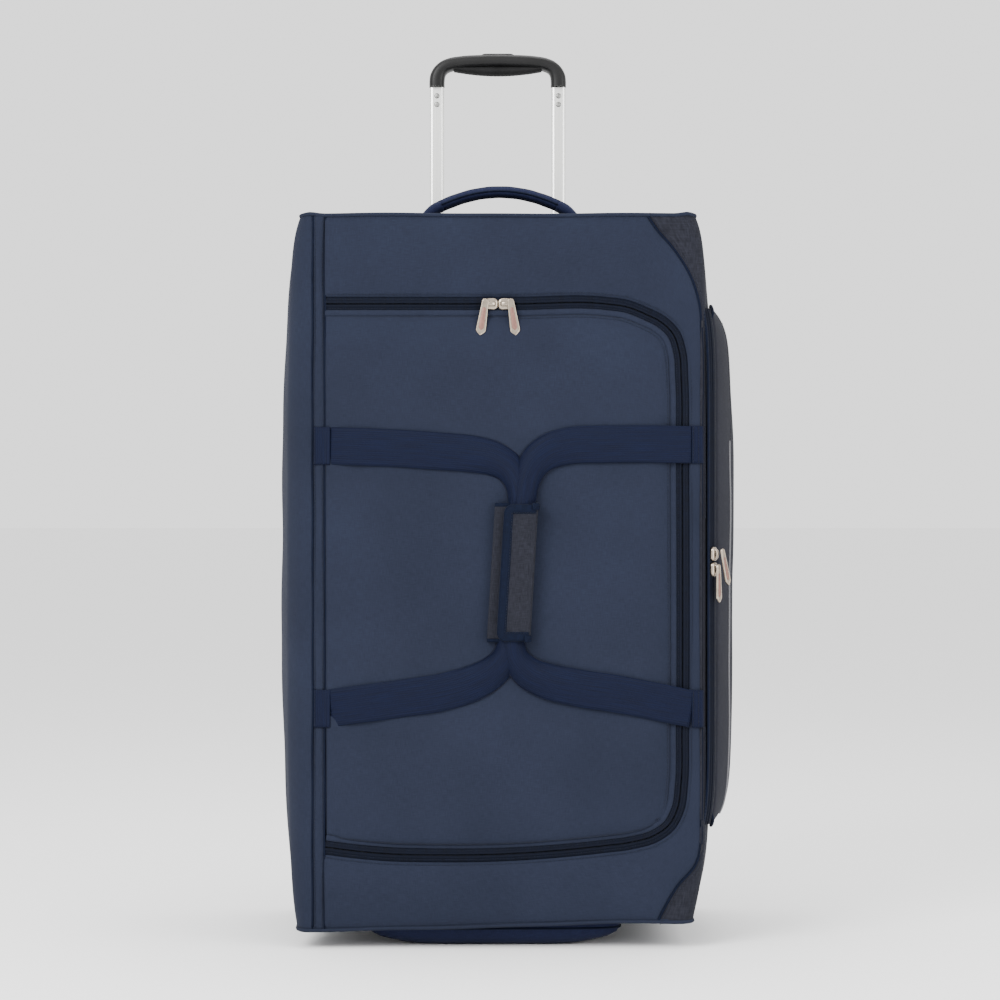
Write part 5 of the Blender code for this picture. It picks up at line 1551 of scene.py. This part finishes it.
class DUFFEL_OT_band(bpy.types.Operator):
    """The narrow band between the left wall and the lid"""

    bl_idname = "duffel.band"
    bl_label = "Front band"

    def execute(self, context):
        front_band()
        return {"FINISHED"}


class DUFFEL_OT_frame(bpy.types.Operator):
    """The fabric outside the zip"""

    bl_idname = "duffel.frame"
    bl_label = "Front frame"

    def execute(self, context):
        front_frame()
        return {"FINISHED"}


class DUFFEL_OT_ends(bpy.types.Operator):
    """Top and base"""

    bl_idname = "duffel.ends"
    bl_label = "Top and base"

    def execute(self, context):
        end_panels()
        return {"FINISHED"}


class DUFFEL_OT_back(bpy.types.Operator):
    """The flat back"""

    bl_idname = "duffel.back"
    bl_label = "Back panel"

    def execute(self, context):
        back_panel()
        return {"FINISHED"}


class DUFFEL_OT_lining(bpy.types.Operator):
    """A smooth bag inside"""

    bl_idname = "duffel.lining"
    bl_label = "Lining"

    def execute(self, context):
        lining()
        return {"FINISHED"}


class DUFFEL_OT_lid(bpy.types.Operator):
    """The lid"""

    bl_idname = "duffel.lid"
    bl_label = "Lid"

    def execute(self, context):
        lid()
        return {"FINISHED"}


class DUFFEL_OT_zips(bpy.types.Operator):
    """The main zip's two tapes, each a profile carried along the zip's line, and the lid's welt"""

    bl_idname = "duffel.zips"
    bl_label = "Main zip"

    def execute(self, context):
        zips()
        return {"FINISHED"}


class DUFFEL_OT_sliders(bpy.types.Operator):
    """The two main sliders, nose to nose, and their pulls"""

    bl_idname = "duffel.sliders"
    bl_label = "Main sliders and pulls"

    def execute(self, context):
        main_sliders()
        return {"FINISHED"}


class DUFFEL_OT_straps(bpy.types.Operator):
    """Both webbing loops, and the tabs that sew them to the bag"""

    bl_idname = "duffel.straps"
    bl_label = "Grab straps"

    def execute(self, context):
        straps()
        return {"FINISHED"}


class DUFFEL_OT_grip(bpy.types.Operator):
    """The wrap behind both straps, its bindings, and the flap that closes over them"""

    bl_idname = "duffel.grip"
    bl_label = "Grip wrap"

    def execute(self, context):
        grip()
        return {"FINISHED"}


class DUFFEL_OT_handle(bpy.types.Operator):
    """A padded arch"""

    bl_idname = "duffel.handle"
    bl_label = "Top handle"

    def execute(self, context):
        top_handle()
        return {"FINISHED"}


class DUFFEL_OT_pocket(bpy.types.Operator):
    """The pocket's face and binding, its zip and gusset, and its sliders and pulls"""

    bl_idname = "duffel.pocket"
    bl_label = "Side pocket"

    def execute(self, context):
        pocket()
        return {"FINISHED"}


class DUFFEL_OT_trolley(bpy.types.Operator):
    """The trolley's grip, finger pad, button, rivets and collars, and the bezel that it slides in"""

    bl_idname = "duffel.trolley"
    bl_label = "Trolley"

    def execute(self, context):
        trolley()
        return {"FINISHED"}


class DUFFEL_OT_wheels(bpy.types.Operator):
    """Tyres and hubs, turned about their axles"""

    bl_idname = "duffel.wheels"
    bl_label = "Wheels"

    def execute(self, context):
        wheels()
        return {"FINISHED"}


class DUFFEL_OT_guards(bpy.types.Operator):
    """The kick plate with its ribs, and two skids with their screws"""

    bl_idname = "duffel.guards"
    bl_label = "Rear guards"

    def execute(self, context):
        guards()
        return {"FINISHED"}


class DUFFEL_OT_foot(bpy.types.Operator):
    """The standing foot"""

    bl_idname = "duffel.foot"
    bl_label = "Standing foot"

    def execute(self, context):
        foot()
        return {"FINISHED"}


class DUFFEL_OT_nodes(bpy.types.Operator):
    """Finishes for the frame's own nodes that still show"""

    bl_idname = "duffel.nodes"
    bl_label = "Frame finishes"

    def execute(self, context):
        cad_nodes()
        return {"FINISHED"}


class DUFFEL_OT_studio(bpy.types.Operator):
    """A broad pale floor, a soft key from upper left, a fill from the right, and the camera"""

    bl_idname = "duffel.studio"
    bl_label = "Studio"

    def execute(self, context):
        studio()
        return {"FINISHED"}


OPERATORS = (
    DUFFEL_OT_walls, DUFFEL_OT_band, DUFFEL_OT_frame, DUFFEL_OT_ends,
    DUFFEL_OT_back, DUFFEL_OT_lining, DUFFEL_OT_lid, DUFFEL_OT_zips,
    DUFFEL_OT_sliders, DUFFEL_OT_straps, DUFFEL_OT_grip, DUFFEL_OT_handle,
    DUFFEL_OT_pocket, DUFFEL_OT_trolley, DUFFEL_OT_wheels, DUFFEL_OT_guards,
    DUFFEL_OT_foot, DUFFEL_OT_nodes, DUFFEL_OT_studio,
)


class DUFFEL_PT_panel(bpy.types.Panel):
    """Sizes, colours and the steps of the build, in order."""

    bl_label = "Rolling duffel bag"
    bl_space_type = "VIEW_3D"
    bl_region_type = "UI"
    bl_category = "Duffel"

    def draw(self, context):
        """Lists the sizes, the colours and the operators."""
        groups = ((context.scene.duffel_sizes, DuffelSizes), (context.scene.duffel_colours, DuffelColours))
        for group, kind in groups:
            for name in kind.__annotations__:
                self.layout.prop(group, name)
        for kind in OPERATORS:
            self.layout.operator(kind.bl_idname)


def register():
    """Registers the classes and hangs the colours and sizes on the scene."""
    for kind in (DuffelSizes, DuffelColours, *OPERATORS, DUFFEL_PT_panel):
        bpy.utils.register_class(kind)
    bpy.types.Scene.duffel_sizes = bpy.props.PointerProperty(type=DuffelSizes)
    bpy.types.Scene.duffel_colours = bpy.props.PointerProperty(type=DuffelColours)


def unregister():
    """Takes away what register() added, in reverse."""
    del bpy.types.Scene.duffel_colours
    del bpy.types.Scene.duffel_sizes
    for kind in (DUFFEL_PT_panel, *reversed(OPERATORS), DuffelColours, DuffelSizes):
        bpy.utils.unregister_class(kind)


def main():
    """Registers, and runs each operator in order."""
    register()
    for kind in OPERATORS:
        getattr(bpy.ops.duffel, kind.bl_idname.split(".")[1])()


if __name__ == "__main__":
    main()
